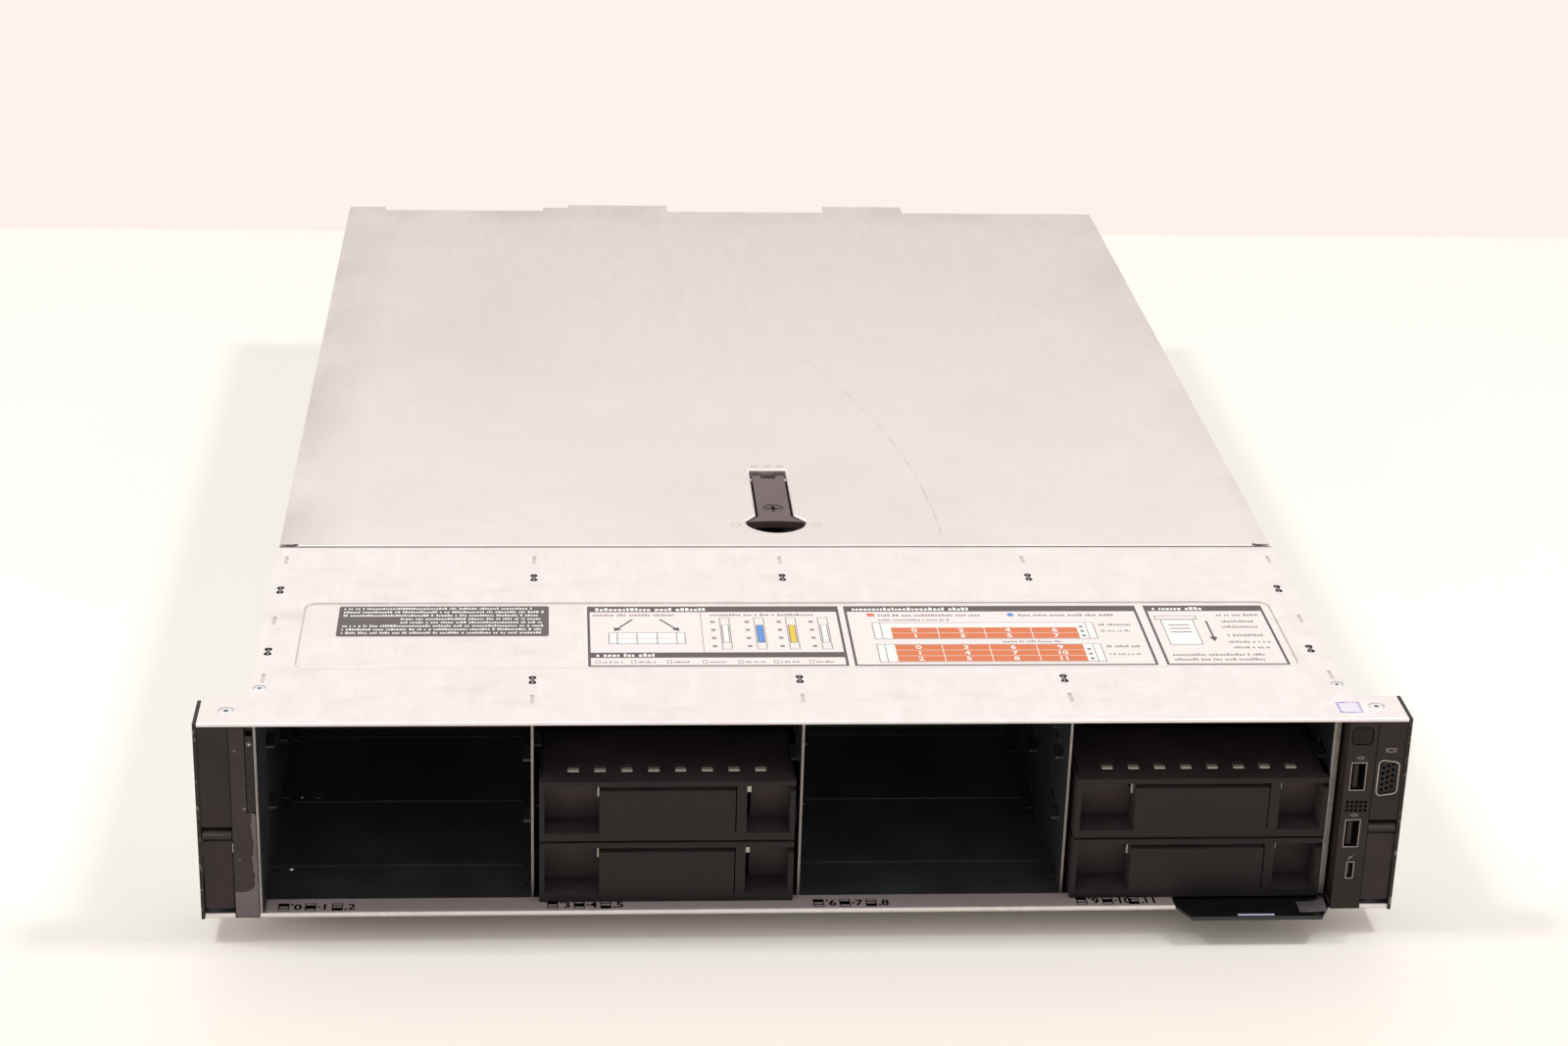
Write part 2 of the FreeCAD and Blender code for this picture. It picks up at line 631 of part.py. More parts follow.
def bay_side_left():
    """Left wall of the bays, whose front edge shows beside the ear cover."""
    x = bay_walls[0]
    pieces, windows = bay_wall(x, 0, SIDE_TAB_Y, False, True)
    nose = block(span(x, SHEET), (front_y + LEFT_SIDE_SETBACK, 0), (HEM_HEIGHT + FIT, under_top))
    return join(pieces + [nose]).cut(windows)


def bay_side_right():
    """Right wall of the bays, with a folded hem on its front edge."""
    x = bay_walls[-1]
    pieces, windows = bay_wall(x, right_side_front_y, SIDE_TAB_Y, True, False)
    hem_x = (x + SHEET / 2 - RIGHT_SIDE_HEM[0], x + SHEET / 2)
    hem_ends = (right_side_front_y, right_side_front_y + RIGHT_SIDE_HEM[1])
    pieces.append(rounded(hem_x, hem_ends, (HEM_HEIGHT + FIT, under_top), "Z", CORNER_ROUND))
    return join(pieces).cut(windows)


def column_centre(column):
    """Mid width of a bay column."""
    return (bay_walls[column] + bay_walls[column + 1]) / 2


def row_bottom(row):
    """Underside of a drive in a row, counted from the floor."""
    return ROW_BOTTOM_Z + row * row_pitch


def backplane():
    """Circuit board behind the bays, with an air vent at each drive."""
    x = (bay_walls[0] + SHEET, bay_walls[-1] - SHEET)
    plate = block(x, (backplane_y, backplane_y + BACKPLANE), (SHEET, under_top - RUN))
    vents = []
    for column in range(COLUMNS):
        for row in range(ROWS):
            vent_z = span(row_bottom(row) + blank_height - BACKPLANE_VENT[1], BACKPLANE_VENT[1])
            vents.append(block(span(column_centre(column), BACKPLANE_VENT[0]),
                               (backplane_y - 1, backplane_y + BACKPLANE + 1), vent_z))
    return plate.cut(vents)


def drive_connectors():
    """One socket on the backplane for each drive."""
    width, depth, height = CONNECTOR
    return [rounded(span(column_centre(column), width), (backplane_y - depth, backplane_y),
                    span(row_bottom(row) + CONNECTOR_RISE, height), "Y", CORNER_ROUND)
            for column in range(COLUMNS) for row in range(ROWS)]


def window_spans(centre_x):
    """Ends along X of the row of spring windows in a blank."""
    middle = (WINDOW_COUNT - 1) / 2
    return [span(centre_x + (i - middle) * window_pitch, WINDOW[0]) for i in range(WINDOW_COUNT)]


def drive_blank(centre_x, low):
    """Moulded filler for an empty bay: scooped grips, a raised pad, a release strip and spring windows."""
    top = low + blank_height
    front = blank_front_y
    rear = front + BLANK_DEPTH
    ceiling = top - BLANK_TOP_BAR
    sill = low + BLANK_BOTTOM_BAR
    x = span(centre_x, blank_width)
    pad_x = span(centre_x, pad_width)
    release_x = (pad_x[1] + RELEASE_SLIT[0], pad_x[1] + RELEASE_SLIT[0] + RELEASE_WIDTH)
    slot_x = (release_x[1], release_x[1] + SPRING_SLOT)
    pocket_rear = front + POCKET_DEPTH
    room_y = (pocket_rear + BLANK_WALL, rear + 1)
    scoop = [(front - 1, sill), (pocket_rear, sill),
             (pocket_rear - POCKET_SLOPE, ceiling), (front - 1, ceiling)]
    window_y = (front + WINDOW_SETBACK, front + WINDOW_SETBACK + WINDOW[1])
    cuts = [prism("X", scoop, (x[0] + BLANK_RIM, pad_x[0])),
            prism("X", scoop, (slot_x[1], x[1] - BLANK_RIM)),
            block(pad_x, (front - 1, front + PAD_GROOVE[1]), (ceiling - PAD_GROOVE[0], ceiling)),
            block((pad_x[1], release_x[0]), (front - 1, front + RELEASE_SLIT[1]), (sill, ceiling)),
            block(slot_x, (front - 1, room_y[0] + 1), (sill, ceiling)),
            block((pad_x[0] - SPRING_PEEP[0], pad_x[0]), (front - 1, room_y[0] + 1),
                  (ceiling - SPRING_PEEP[1], ceiling)),
            block((x[1] - BLANK_RIM, x[1] + 1), (front - 1, front + PAD_THICKNESS),
                  (ceiling - RIM_NOTCH, ceiling)),
            block((x[0] + BLANK_WALL, x[1] - BLANK_WALL), room_y, (low + BLANK_WALL, ceiling)),
            block((pad_x[0] + BLANK_WALL, release_x[1] - BLANK_WALL),
                  (front + PAD_THICKNESS, room_y[0] + 1), (sill, ceiling)),
            block(span(centre_x, 2 * spring_half + 2 * FIT),
                  (window_y[0] - SPRING_MARGIN - FIT, room_y[0] + 1),
                  (ceiling - 2 * SPRING_SHEET, ceiling)),
            block((x[0] - 1, x[0] + BLANK_WALL), (front + PAD_THICKNESS, rear + 1), (top - RABBET, top + 1)),
            block((x[1] - BLANK_WALL, x[1] + 1), (front + PAD_THICKNESS, rear + 1), (top - RABBET, top + 1))]
    cuts += [block(window_x, window_y, (ceiling - 1, top + 1)) for window_x in window_spans(centre_x)]
    return block(x, (front, rear), (low, top)).cut(cuts)


def blank_spring(centre_x, low):
    """Contact strip under a blank's top wall, with an arched finger in each window."""
    top = low + blank_height
    ceiling = top - BLANK_TOP_BAR
    start = blank_front_y + WINDOW_SETBACK
    strip_y = (start - SPRING_MARGIN, start + WINDOW[1] + SPRING_MARGIN)
    pieces = [block(span(centre_x, 2 * spring_half), strip_y, (ceiling - SPRING_SHEET, ceiling))]
    y = (start + FIT, start + WINDOW[1] - FIT)
    crest = top - FIT
    foot = ceiling - SPRING_SHEET / 2
    inner = FINGER_SLOPE + SPRING_SHEET
    arch = [(y[0], foot), (y[0] + FINGER_SLOPE, crest), (y[1] - FINGER_SLOPE, crest), (y[1], foot),
            (y[1] - SPRING_SHEET, foot), (y[1] - inner, crest - SPRING_SHEET),
            (y[0] + inner, crest - SPRING_SHEET), (y[0] + SPRING_SHEET, foot)]
    for window_x in window_spans(centre_x):
        pieces.append(prism("X", arch, (window_x[0] + FIT, window_x[1] - FIT)))
    return join(pieces)


def information_tag():
    """Pull-out card with a wide chamfered handle whose front edge is turned down."""
    handle = span(tag_centre_x, TAG_WIDTH)
    nose_y = front_y - TAG_PROJECTION
    card = span(tag_centre_x, CARD_WIDTH)
    card_z = (SHEET + FIT, SHEET + FIT + CARD_THICKNESS)
    outline = [(handle[0], tag_back_y), (handle[0], nose_y + TAG_CHAMFER[1]),
               (handle[0] + TAG_CHAMFER[0], nose_y), (handle[1] - TAG_CHAMFER[0], nose_y),
               (handle[1], nose_y + TAG_CHAMFER[1]), (handle[1], tag_back_y)]
    lip_x = (handle[0] + TAG_CHAMFER[0], handle[1] - TAG_CHAMFER[0])
    return join([prism("Z", outline, (card_z[0], TAG_TOP_Z)),
                 block(card, (tag_back_y, CARD_REAR_Y), card_z),
                 block(lip_x, (nose_y, nose_y + TAG_LIP[0]), (TAG_TOP_Z - TAG_LIP[1], TAG_TOP_Z))])


def tag_guides():
    """Two rails on the floor whose lips hold the card down."""
    card = span(tag_centre_x, CARD_WIDTH)
    lip_z = SHEET + FIT + CARD_THICKNESS + RUN
    right = [(card[1] + RUN, SHEET), (card[1] + RUN + SHEET, SHEET),
             (card[1] + RUN + SHEET, lip_z + GUIDE_LIP[1]),
             (card[1] + RUN - GUIDE_LIP[0], lip_z + GUIDE_LIP[1]),
             (card[1] + RUN - GUIDE_LIP[0], lip_z), (card[1] + RUN, lip_z)]
    left = [(2 * tag_centre_x - x, z) for x, z in right]
    return [prism("Y", left, guide_y), prism("Y", right, guide_y)]


def ear_cover(inner, split):
    """Moulded ear of the right side: outer plate, face with the latch pocket, and a strip for controls."""
    top = under_top - FIT
    rear = -SHEET - FIT
    strip_low = HEM_HEIGHT + FIT
    body = join([block((ear_in, half_ear), (front_y, 0), (0, HEIGHT)),
                 block((split, ear_in), (face_y, rear), (latch_pocket_top, top)),
                 block((inner, split), (face_y, rear), (strip_low, top)),
                 block((inner, split), (face_y, face_y + EAR_SKIN), (FIT, strip_low))])
    pin_ends = (split - EAR_WALL - 1, ear_in + SIDE_PLATE / 2)
    return body.cut([
        block((inner + EAR_WALL, ear_in), (face_y + EAR_SKIN, 0),
              (latch_pocket_top + EAR_WALL, top - EAR_WALL)),
        block((inner + EAR_WALL, split - EAR_WALL), (face_y + EAR_SKIN, 0),
              (strip_low + EAR_WALL, latch_pocket_top + 2 * EAR_WALL)),
        block(span(split, EAR_GROOVE), (face_y - 1, face_y + EAR_GROOVE), (latch_pocket_top - 1, top + 1)),
        rod("X", (latch_y, latch_axis_z), LATCH_PIN_RADIUS + PIN_RUN, pin_ends)])


def status_bar_room():
    """Space for the status bar on the inner edge of the left strip, drawn on the right side."""
    x = (left_strip_inner - 1, left_strip_inner + STATUS_BAR_WIDTH + FIT)
    depth = STATUS_BAR_DEPTH + STATUS_BAR_TRAVEL + RUN
    return block(x, (face_y - 1, face_y + depth), (status_bar_z[0] - FIT, status_bar_z[1] + FIT))


def id_button():
    """Translucent status bar that is pressed to light the identification lamp."""
    x = (left_strip_inner + FIT / 2, left_strip_inner + STATUS_BAR_WIDTH - FIT / 2)
    bar = rounded(x, (face_y, face_y + STATUS_BAR_DEPTH), status_bar_z, "Y", CORNER_ROUND)
    return mirrored(bar)


def power_button():
    """Rounded key with a retaining flange behind the face."""
    x = span(power_centre[0], POWER_SIZE[0])
    key_y = (face_y + FIT, face_y + POWER_DEPTH)
    key = rounded(x, key_y, span(power_centre[1], POWER_SIZE[1]), "Y", POWER_ROUND)
    flange_y = face_y + EAR_SKIN + FIT
    flange = block(x, (flange_y, flange_y + POWER_FLANGE[1]),
                   span(power_centre[1], POWER_SIZE[1] + 2 * POWER_FLANGE[0]))
    return join([key, flange])


def display_outline(inset):
    """D outline of the display socket across the front, moved inwards by a distance."""
    x = span(display_centre[0], DISPLAY_SHELL[0] - 2 * inset)
    z = span(display_centre[1], DISPLAY_SHELL[1] - 2 * inset)
    return [(x[0], z[0]), (x[1], z[0] + DISPLAY_SLANT), (x[1], z[1] - DISPLAY_SLANT), (x[0], z[1])]


def display_body(inset, y):
    """Rounded D bar of the display socket between two depths."""
    return round_edges(prism("Y", display_outline(inset), y), "Y", DISPLAY_ROUND - inset)


def right_controls():
    """Cut-outs in the right ear for the power key, sockets and sounder grille."""
    depth = (face_y - 1, face_y + EAR_SKIN + 1)
    cuts = [rounded(span(power_centre[0], POWER_SIZE[0] + 2 * RUN), depth,
                    span(power_centre[1], POWER_SIZE[1] + 2 * RUN), "Y", POWER_ROUND + RUN)]
    cuts += [block(span(x, USB_SHELL[0] + 2 * FIT), depth, span(z, USB_SHELL[1] + 2 * FIT))
             for x, z in usb_centres]
    cuts.append(block(span(service_centre[0], SERVICE_SHELL[0] + 2 * FIT), depth,
                      span(service_centre[1], SERVICE_SHELL[1] + 2 * FIT)))
    cuts.append(display_body(-FIT, depth))
    for i in range(GRILLE_COUNT[0]):
        for j in range(GRILLE_COUNT[1]):
            hole_x = grille_centre[0] + (i - (GRILLE_COUNT[0] - 1) / 2) * GRILLE_PITCH
            hole_z = grille_centre[1] + (j - (GRILLE_COUNT[1] - 1) / 2) * GRILLE_PITCH
            cuts.append(block(span(hole_x, GRILLE_HOLE), depth, span(hole_z, GRILLE_HOLE)))
    return cuts


def front_sockets():
    """Metal shells of the two USB sockets, the service socket and the display socket."""
    mouth = face_y + FIT
    shells = []
    for centre, size, depth in ((usb_centres[0], USB_SHELL, USB_DEPTH), (usb_centres[1], USB_SHELL, USB_DEPTH),
                                (service_centre, SERVICE_SHELL, SERVICE_DEPTH)):
        outer = block(span(centre[0], size[0]), (mouth, mouth + depth), span(centre[1], size[1]))
        room = block(span(centre[0], size[0] - 2 * USB_WALL), (mouth - 1, mouth + depth + 1),
                     span(centre[1], size[1] - 2 * USB_WALL))
        shells.append(outer.cut(room))
    shell = display_body(0, (mouth, mouth + DISPLAY_DEPTH))
    shells.append(shell.cut(display_body(DISPLAY_WALL, (mouth - 1, mouth + DISPLAY_DEPTH + 1))))
    return shells


def socket_inserts():
    """Moulded bodies inside the sockets: tongues of the USB sockets and the block of the display socket."""
    mouth = face_y + FIT
    bodies = []
    for centre, size, depth, tongue in ((usb_centres[0], USB_SHELL, USB_DEPTH, USB_TONGUE),
                                        (usb_centres[1], USB_SHELL, USB_DEPTH, USB_TONGUE),
                                        (service_centre, SERVICE_SHELL, SERVICE_DEPTH, SERVICE_TONGUE)):
        rear = mouth + depth
        plug_y = (rear - EAR_SKIN, rear)
        plug = block(span(centre[0], size[0] - 2 * USB_WALL), plug_y, span(centre[1], size[1] - 2 * USB_WALL))
        blade = block(span(centre[0] - TONGUE_SHIFT * size[0], tongue[0]), (mouth + DISPLAY_RECESS, plug_y[0]),
                      span(centre[1], tongue[1]))
        bodies.append(join([plug, blade]))
    bodies.append(display_body(DISPLAY_WALL, (mouth + DISPLAY_RECESS, mouth + DISPLAY_DEPTH)))
    return bodies


def rack_latch(split):
    """Lever of the right ear: rounded lip, flap to pull and a hook that reaches behind the rack post."""
    x = (split + RUN, ear_in - RUN)
    axis = (latch_y, latch_axis_z)
    flap_y = face_y + LATCH_FLAP_SETBACK
    half = HOOK_HEIGHT / 2
    tip = HOOK_REACH - HOOK_TIP
    hook = [(latch_y, latch_axis_z - half), (HOOK_REACH, latch_axis_z - half / 2),
            (HOOK_REACH, latch_axis_z + half),
            (tip + HOOK_TIP / 2, latch_axis_z + half + HOOK_RISE), (tip, latch_axis_z + half + HOOK_RISE),
            (tip, latch_axis_z + half), (latch_y, latch_axis_z + half)]
    lever = join([rod("X", axis, LATCH_LIP_RADIUS, x),
                  rounded(x, (flap_y, flap_y + LATCH_FLAP), (LATCH_BOTTOM_Z, latch_axis_z), "Y", LATCH_CORNER),
                  prism("X", hook, (x[1] - HOOK_WIDTH, x[1]))])
    spring_room = (x[0] - 1, x[0] + LATCH_SPRING_LENGTH + RUN)
    return lever.cut([rod("X", axis, LATCH_PIN_RADIUS + PIN_RUN, (x[0] - 1, x[1] + 1)),
                      rod("X", axis, LATCH_SPRING_RADIUS + FIT, spring_room)])


def rack_latch_pin(split):
    """Hinge pin of the right rack latch, held by the ear's wall and outer plate."""
    ends = (split - EAR_WALL, ear_in + SIDE_PLATE / 2)
    return rod("X", (latch_y, latch_axis_z), LATCH_PIN_RADIUS, ends)


def rack_latch_spring(split):
    """Close-wound return spring round the pin, drawn as its sleeve."""
    ends = (split + FIT, split + RUN + LATCH_SPRING_LENGTH)
    coil = rod("X", (latch_y, latch_axis_z), LATCH_SPRING_RADIUS, ends)
    return coil.cut(rod("X", (latch_y, latch_axis_z), LATCH_PIN_RADIUS + FIT, ends))


def rail_studs():
    """Headed studs on both sides that drop into the slots of the rack rails."""
    studs = []
    for y in stud_y:
        shank = rod("X", (y, stud_z), STUD_SHANK[0], (half_body, half_body + STUD_SHANK[1]))
        head_x = half_body + STUD_SHANK[1]
        head = rod("X", (y, stud_z), STUD_HEAD[0], (head_x, head_x + STUD_HEAD[1]))
        stud = join([shank, head])
        studs += [stud, mirrored(stud)]
    return studs


def keyhole(grow, z):
    """Bar of the latch opening's outline: half-round cup, flare and a straight slot behind it."""
    cup, slot = CUP_RADIUS + grow, LEVER_SLOT_HALF + grow
    front = block((-cup, cup), (latch_cup_y - cup, latch_cup_y), z)
    flare = [(-cup, latch_cup_y), (cup, latch_cup_y), (slot, lever_neck_y), (-slot, lever_neck_y)]
    return join([rod("Z", (0, latch_cup_y), cup, z).common(front), prism("Z", flare, z),
                 block((-slot, slot), (lever_neck_y, lever_slot_rear + grow), z)])


def top_cover():
    """Sliding cover with side flanges, a tongue under the front panel, rear tabs and the latch opening."""
    cover_front = SEAM_Y + FIT
    plate_z = (under_top, HEIGHT)
    pieces = [block((-half_body, half_body), (cover_front, cover_rear_y), plate_z)]
    for side in (-1, 1):
        flange_x = sorted((side * (half_body - TOP_SHEET), side * half_body))
        pieces.append(block(flange_x, (cover_front, cover_rear_y), (flange_low, HEIGHT)))
    pieces += [block((low, high), (cover_rear_y, cover_rear_y + reach), plate_z)
               for low, high, reach in (corner_tab,) + MIDDLE_TABS]
    tongue_x = (-tongue_half, tongue_half)
    tongue_top = under_top - RUN
    pieces += [block(tongue_x, (SEAM_Y - TONGUE_DEPTH, cover_front + 2 * TOP_SHEET),
                     (tongue_top - TOP_SHEET, tongue_top)),
               block(tongue_x, (cover_front + TOP_SHEET, cover_front + 2 * TOP_SHEET),
                     (tongue_top - TOP_SHEET, under_top))]
    cuts = [keyhole(0, (under_top - 1, HEIGHT + 1))]
    for side in (-1, 1):
        notch_in = half_body - CORNER_NOTCH[0]
        notch_x = sorted((side * notch_in, side * (half_body + 1)))
        notch_rear = cover_front + CORNER_NOTCH[1]
        cuts.append(block(notch_x, (cover_front - 1, notch_rear), (flange_low - 1, HEIGHT + 1)))
        cuts.append(rod("Z", (side * notch_in, notch_rear - CORNER_RELIEF / 2), CORNER_RELIEF,
                        (under_top - 1, HEIGHT + 1)))
    cover = join(pieces).cut(cuts)
    rim = [edge for edge in cover.Edges
           if edge.BoundBox.ZMin > HEIGHT - FIT and edge.BoundBox.YMin > latch_cup_y - CUP_RADIUS - FIT
           and edge.BoundBox.YMax < lever_slot_rear + FIT and edge.BoundBox.XMax < CUP_RADIUS + FIT
           and edge.BoundBox.XMin > -CUP_RADIUS - FIT]
    return cover.makeChamfer(OPENING_CHAMFER, rim)


def latch_pan():
    """Flanged tub under the cover's opening, with a hole on each side for the lever's pin."""
    flange = keyhole(PAN_FLANGE, (under_top - PAN_WALL, under_top))
    tub = join([keyhole(PAN_WALL, (pan_low, under_top)), flange])
    return tub.cut([keyhole(0, (pan_low + PAN_WALL, under_top + 1)),
                    rod("X", (lever_hinge_y, lever_hinge_z), LEVER_PIN_RADIUS + PIN_RUN,
                        (-LEVER_SLOT_HALF - PAN_FLANGE, LEVER_SLOT_HALF + PAN_FLANGE))])


def latch_lever():
    """Flared lever with a hollowed nose that lifts from the cup and turns on its rear barrel."""
    nose_y = latch_cup_y + LEVER_NOSE[0]
    corners = {name: FreeCAD.Vector(x, y, lever_top - LEVER_THICKNESS) for name, x, y in (
        ("rear right", lever_half, lever_hinge_y), ("neck right", lever_half, lever_neck_y),
        ("flare right", lever_flare, nose_y), ("nose", 0, nose_y + LEVER_NOSE[1]),
        ("flare left", -lever_flare, nose_y), ("neck left", -lever_half, lever_neck_y),
        ("rear left", -lever_half, lever_hinge_y))}
    edges = [Part.makeLine(corners["rear right"], corners["neck right"]),
             Part.makeLine(corners["neck right"], corners["flare right"]),
             Part.Arc(corners["flare right"], corners["nose"], corners["flare left"]).toShape(),
             Part.makeLine(corners["flare left"], corners["neck left"]),
             Part.makeLine(corners["neck left"], corners["rear left"]),
             Part.makeLine(corners["rear left"], corners["rear right"])]
    plate = Part.Face(Part.Wire(edges)).extrude(FreeCAD.Vector(0, 0, LEVER_THICKNESS))
    width = (-lever_half, lever_half)
    barrel = rod("X", (lever_hinge_y, lever_hinge_z), LEVER_BARREL, width)
    gap_y = (lever_hinge_y - LEVER_BARREL - RUN, lever_hinge_y + LEVER_BARREL + RUN)
    return join([plate, barrel]).cut([
        rod("X", (lever_hinge_y, lever_hinge_z), LEVER_PIN_RADIUS + PIN_RUN, width),
        block(span(0, LEVER_LUG_GAP), gap_y, (lever_hinge_z - LEVER_BARREL - 1, HEIGHT)),
        rod("Z", (0, lock_y), LOCK_RADIUS + PIN_RUN, (lever_top - LEVER_THICKNESS - 1, HEIGHT))])


def latch_pin():
    """Hinge pin of the cover lever, held in the sides of the pan."""
    reach = LEVER_SLOT_HALF + PAN_WALL - FIT
    return rod("X", (lever_hinge_y, lever_hinge_z), LEVER_PIN_RADIUS, (-reach, reach))


def latch_lock():
    """Coin lock in the lever: slotted disc with a retaining flange below."""
    under = lever_top - LEVER_THICKNESS - PIN_RUN
    disc = rod("Z", (0, lock_y), LOCK_RADIUS, (under, lever_top - FIT))
    flange = rod("Z", (0, lock_y), LOCK_FLANGE[0], (under - LOCK_FLANGE[1], under))
    length, width, depth = LOCK_SLOT
    slot_z = (lever_top - FIT - depth, HEIGHT)
    return join([disc, flange]).cut([block(span(0, length), span(lock_y, width), slot_z),
                                     block(span(0, width), span(lock_y, length), slot_z)])


def fan_x(index):
    """Axis of a fan, counted from the left."""
    return (index - (FAN_COUNT - 1) / 2) * fan_pitch


def fan_z():
    """Height of the fan axes."""
    return FAN_BASE_Z + fan_size / 2


def fan_cage():
    """Comb-shaped cage: a base on the floor with an upright between the fans."""
    y = (fan_front_y - FAN_CAGE_REACH, fan_front_y + FAN_DEPTH + FAN_CAGE_REACH)
    ends = (fan_x(0) - fan_pitch / 2 - SHEET / 2, fan_x(FAN_COUNT - 1) + fan_pitch / 2 + SHEET / 2)
    pieces = [block(ends, y, (SHEET, FAN_BASE_Z))]
    for i in range(FAN_COUNT + 1):
        pieces.append(block(span(fan_x(i) - fan_pitch / 2, SHEET), y, (SHEET, FAN_BASE_Z + FAN_CAGE_HEIGHT)))
    return join(pieces)


def fan_frame(index):
    """Square fan housing with a bore, a motor cup and four struts at the outlet."""
    x = fan_x(index)
    axis = (x, fan_z())
    y = (fan_front_y, fan_front_y + FAN_DEPTH)
    cup_y = (y[1] - FAN_CUP[1], y[1])
    frame = rounded(span(x, fan_size), y, (FAN_BASE_Z, FAN_BASE_Z + fan_size), "Y", FAN_ROUND)
    frame = frame.cut(rod("Y", axis, fan_bore, (y[0] - 1, y[1] + 1)))
    reach = fan_size / 2 + fan_bore
    struts = [block(span(x, reach), cup_y, span(axis[1], FAN_STRUT)),
              block(span(x, FAN_STRUT), cup_y, span(axis[1], reach))]
    body = join([frame, rod("Y", axis, FAN_CUP[0], cup_y)] + struts)
    return body.cut(rod("Y", axis, FAN_SHAFT + PIN_RUN, (cup_y[0] - 1, cup_y[1] - SHEET)))


def fan_blade(height):
    """Twisted blade standing out along X from the hub, at a height along the fan's axis."""
    sections = []
    for radius, angle in ((FAN_HUB - 1, FAN_ROOT_ANGLE), (fan_tip + 1, FAN_TIP_ANGLE)):
        lean = math.radians(angle)
        chord = (FAN_BLADE[0] / 2 * math.sin(lean), FAN_BLADE[0] / 2 * math.cos(lean))
        skin = (-FAN_BLADE[1] / 2 * math.cos(lean), FAN_BLADE[1] / 2 * math.sin(lean))
        corners = [FreeCAD.Vector(radius, height + a * chord[0] + b * skin[0], a * chord[1] + b * skin[1])
                   for a, b in ((1, 1), (-1, 1), (-1, -1), (1, -1))]
        sections.append(Part.makePolygon(corners + corners[:1]))
    return Part.makeLoft(sections, True, True)


def fan_rotor():
    """Hub, shaft and twisted blades about the Y axis, with the inlet side at Y zero."""
    hub_rear = FAN_DEPTH - FAN_CUP[1] - 2 * RUN
    hub = rod("Y", (0, 0), FAN_HUB, (hub_rear - FAN_BLADE_DEPTH, hub_rear))
    shaft = rod("Y", (0, 0), FAN_SHAFT, (hub_rear - 1, FAN_DEPTH - SHEET - RUN))
    blade = fan_blade(hub_rear - FAN_BLADE_DEPTH / 2)
    blade = blade.common(rod("Y", (0, 0), fan_tip, (0, FAN_DEPTH)))
    blades = []
    for i in range(FAN_BLADES):
        turned = blade.copy()
        turned.rotate(FreeCAD.Vector(0, 0, 0), AXES["Y"], i * 360 / FAN_BLADES)
        blades.append(turned)
    return join([hub, shaft] + blades)


def module_x():
    """Places across the board of all memory modules."""
    middle = (MODULES_PER_BANK - 1) / 2
    banks = (-bank_outer_x, -BANK_INNER_X, BANK_INNER_X, bank_outer_x)
    return [bank + (i - middle) * MODULE_PITCH for bank in banks for i in range(MODULES_PER_BANK)]


def system_board():
    """Board cut away for the supplies, with grooved memory sockets and two processors."""
    corner_x = supply_cage_right + SHEET + RUN
    corner_y = supply_cage_front_y - RUN
    outline = [(-board_half, board_y[0]), (board_half, board_y[0]), (board_half, board_y[1]),
               (corner_x, board_y[1]), (corner_x, corner_y), (-board_half, corner_y)]
    pieces = [prism("Z", outline, (BOARD_Z, board_top))]
    grooves = []
    socket_top = board_top + SOCKET[2]
    for x in module_x():
        pieces.append(block(span(x, SOCKET[0]), span(sink_y, SOCKET[1]), (board_top, socket_top)))
        grooves.append(block(span(x, MODULE[0] + FIT), span(sink_y, MODULE[1] + FIT),
                             (socket_top - SOCKET_GROOVE, socket_top + 1)))
    for x in (-sink_x, sink_x):
        pieces.append(block(span(x, processor_width), span(sink_y, PROCESSOR_LENGTH),
                            (board_top, processor_top)))
    return join(pieces).cut(grooves)


def memory_modules():
    """Memory boards standing in their sockets."""
    low = board_top + SOCKET[2] - SOCKET_GROOVE
    return [block(span(x, MODULE[0]), span(sink_y, MODULE[1]), (low, low + MODULE[2])) for x in module_x()]


def heat_sink(x):
    """Finned block on a processor."""
    body = block(span(x, sink_width), span(sink_y, SINK_LENGTH), (processor_top, sink_top))
    pitch = (sink_width - SINK_FIN) / (SINK_FINS - 1)
    first = x - sink_width / 2 + SINK_FIN
    slots = [block((first + i * pitch, first + (i + 1) * pitch - SINK_FIN), span(sink_y, SINK_LENGTH + 2),
                   (processor_top + SINK_BASE, sink_top + 1)) for i in range(SINK_FINS - 1)]
    return body.cut(slots)


def air_shroud():
    """Thin hood with sloped shoulders that leads air from the fans over the processors."""
    def hood(inset):
        half = shroud_half - inset
        top = shroud_top - inset
        return [(-half, board_top), (-half, top - SHROUD_SHOULDER), (SHROUD_SHOULDER - half, top),
                (half - SHROUD_SHOULDER, top), (half, top - SHROUD_SHOULDER), (half, board_top)]
    inner = hood(SHROUD)
    return prism("Y", hood(0) + inner[::-1], shroud_y)


def slot_spans():
    """Ends across and up of every expansion slot at the rear."""
    rows = ((slot_z[1] - slot_height, slot_z[1]), (slot_z[0], slot_z[0] + slot_height))
    return [(span(x, slot_length), row) for x in riser_x for row in rows]


def slot_covers():
    """Vented plates behind the slot windows."""
    plate_y = (REAR_Y - SHEET - SLOT_SHEET, REAR_Y - SHEET)
    plates = []
    for x, z in slot_spans():
        middle = (x[0] + x[1]) / 2
        vents = []
        for i in range(SLOT_VENTS):
            for row in (-1, 1):
                vent_x = middle + (i - (SLOT_VENTS - 1) / 2) * (slot_length / (SLOT_VENTS + 1))
                vent_z = (z[0] + z[1]) / 2 + row * SLOT_VENT[1]
                vents.append(block(span(vent_x, SLOT_VENT[0]), (plate_y[0] - 1, plate_y[1] + 1),
                                   span(vent_z, SLOT_VENT[1])))
        plates.append(block(x, plate_y, z).cut(vents))
    return plates


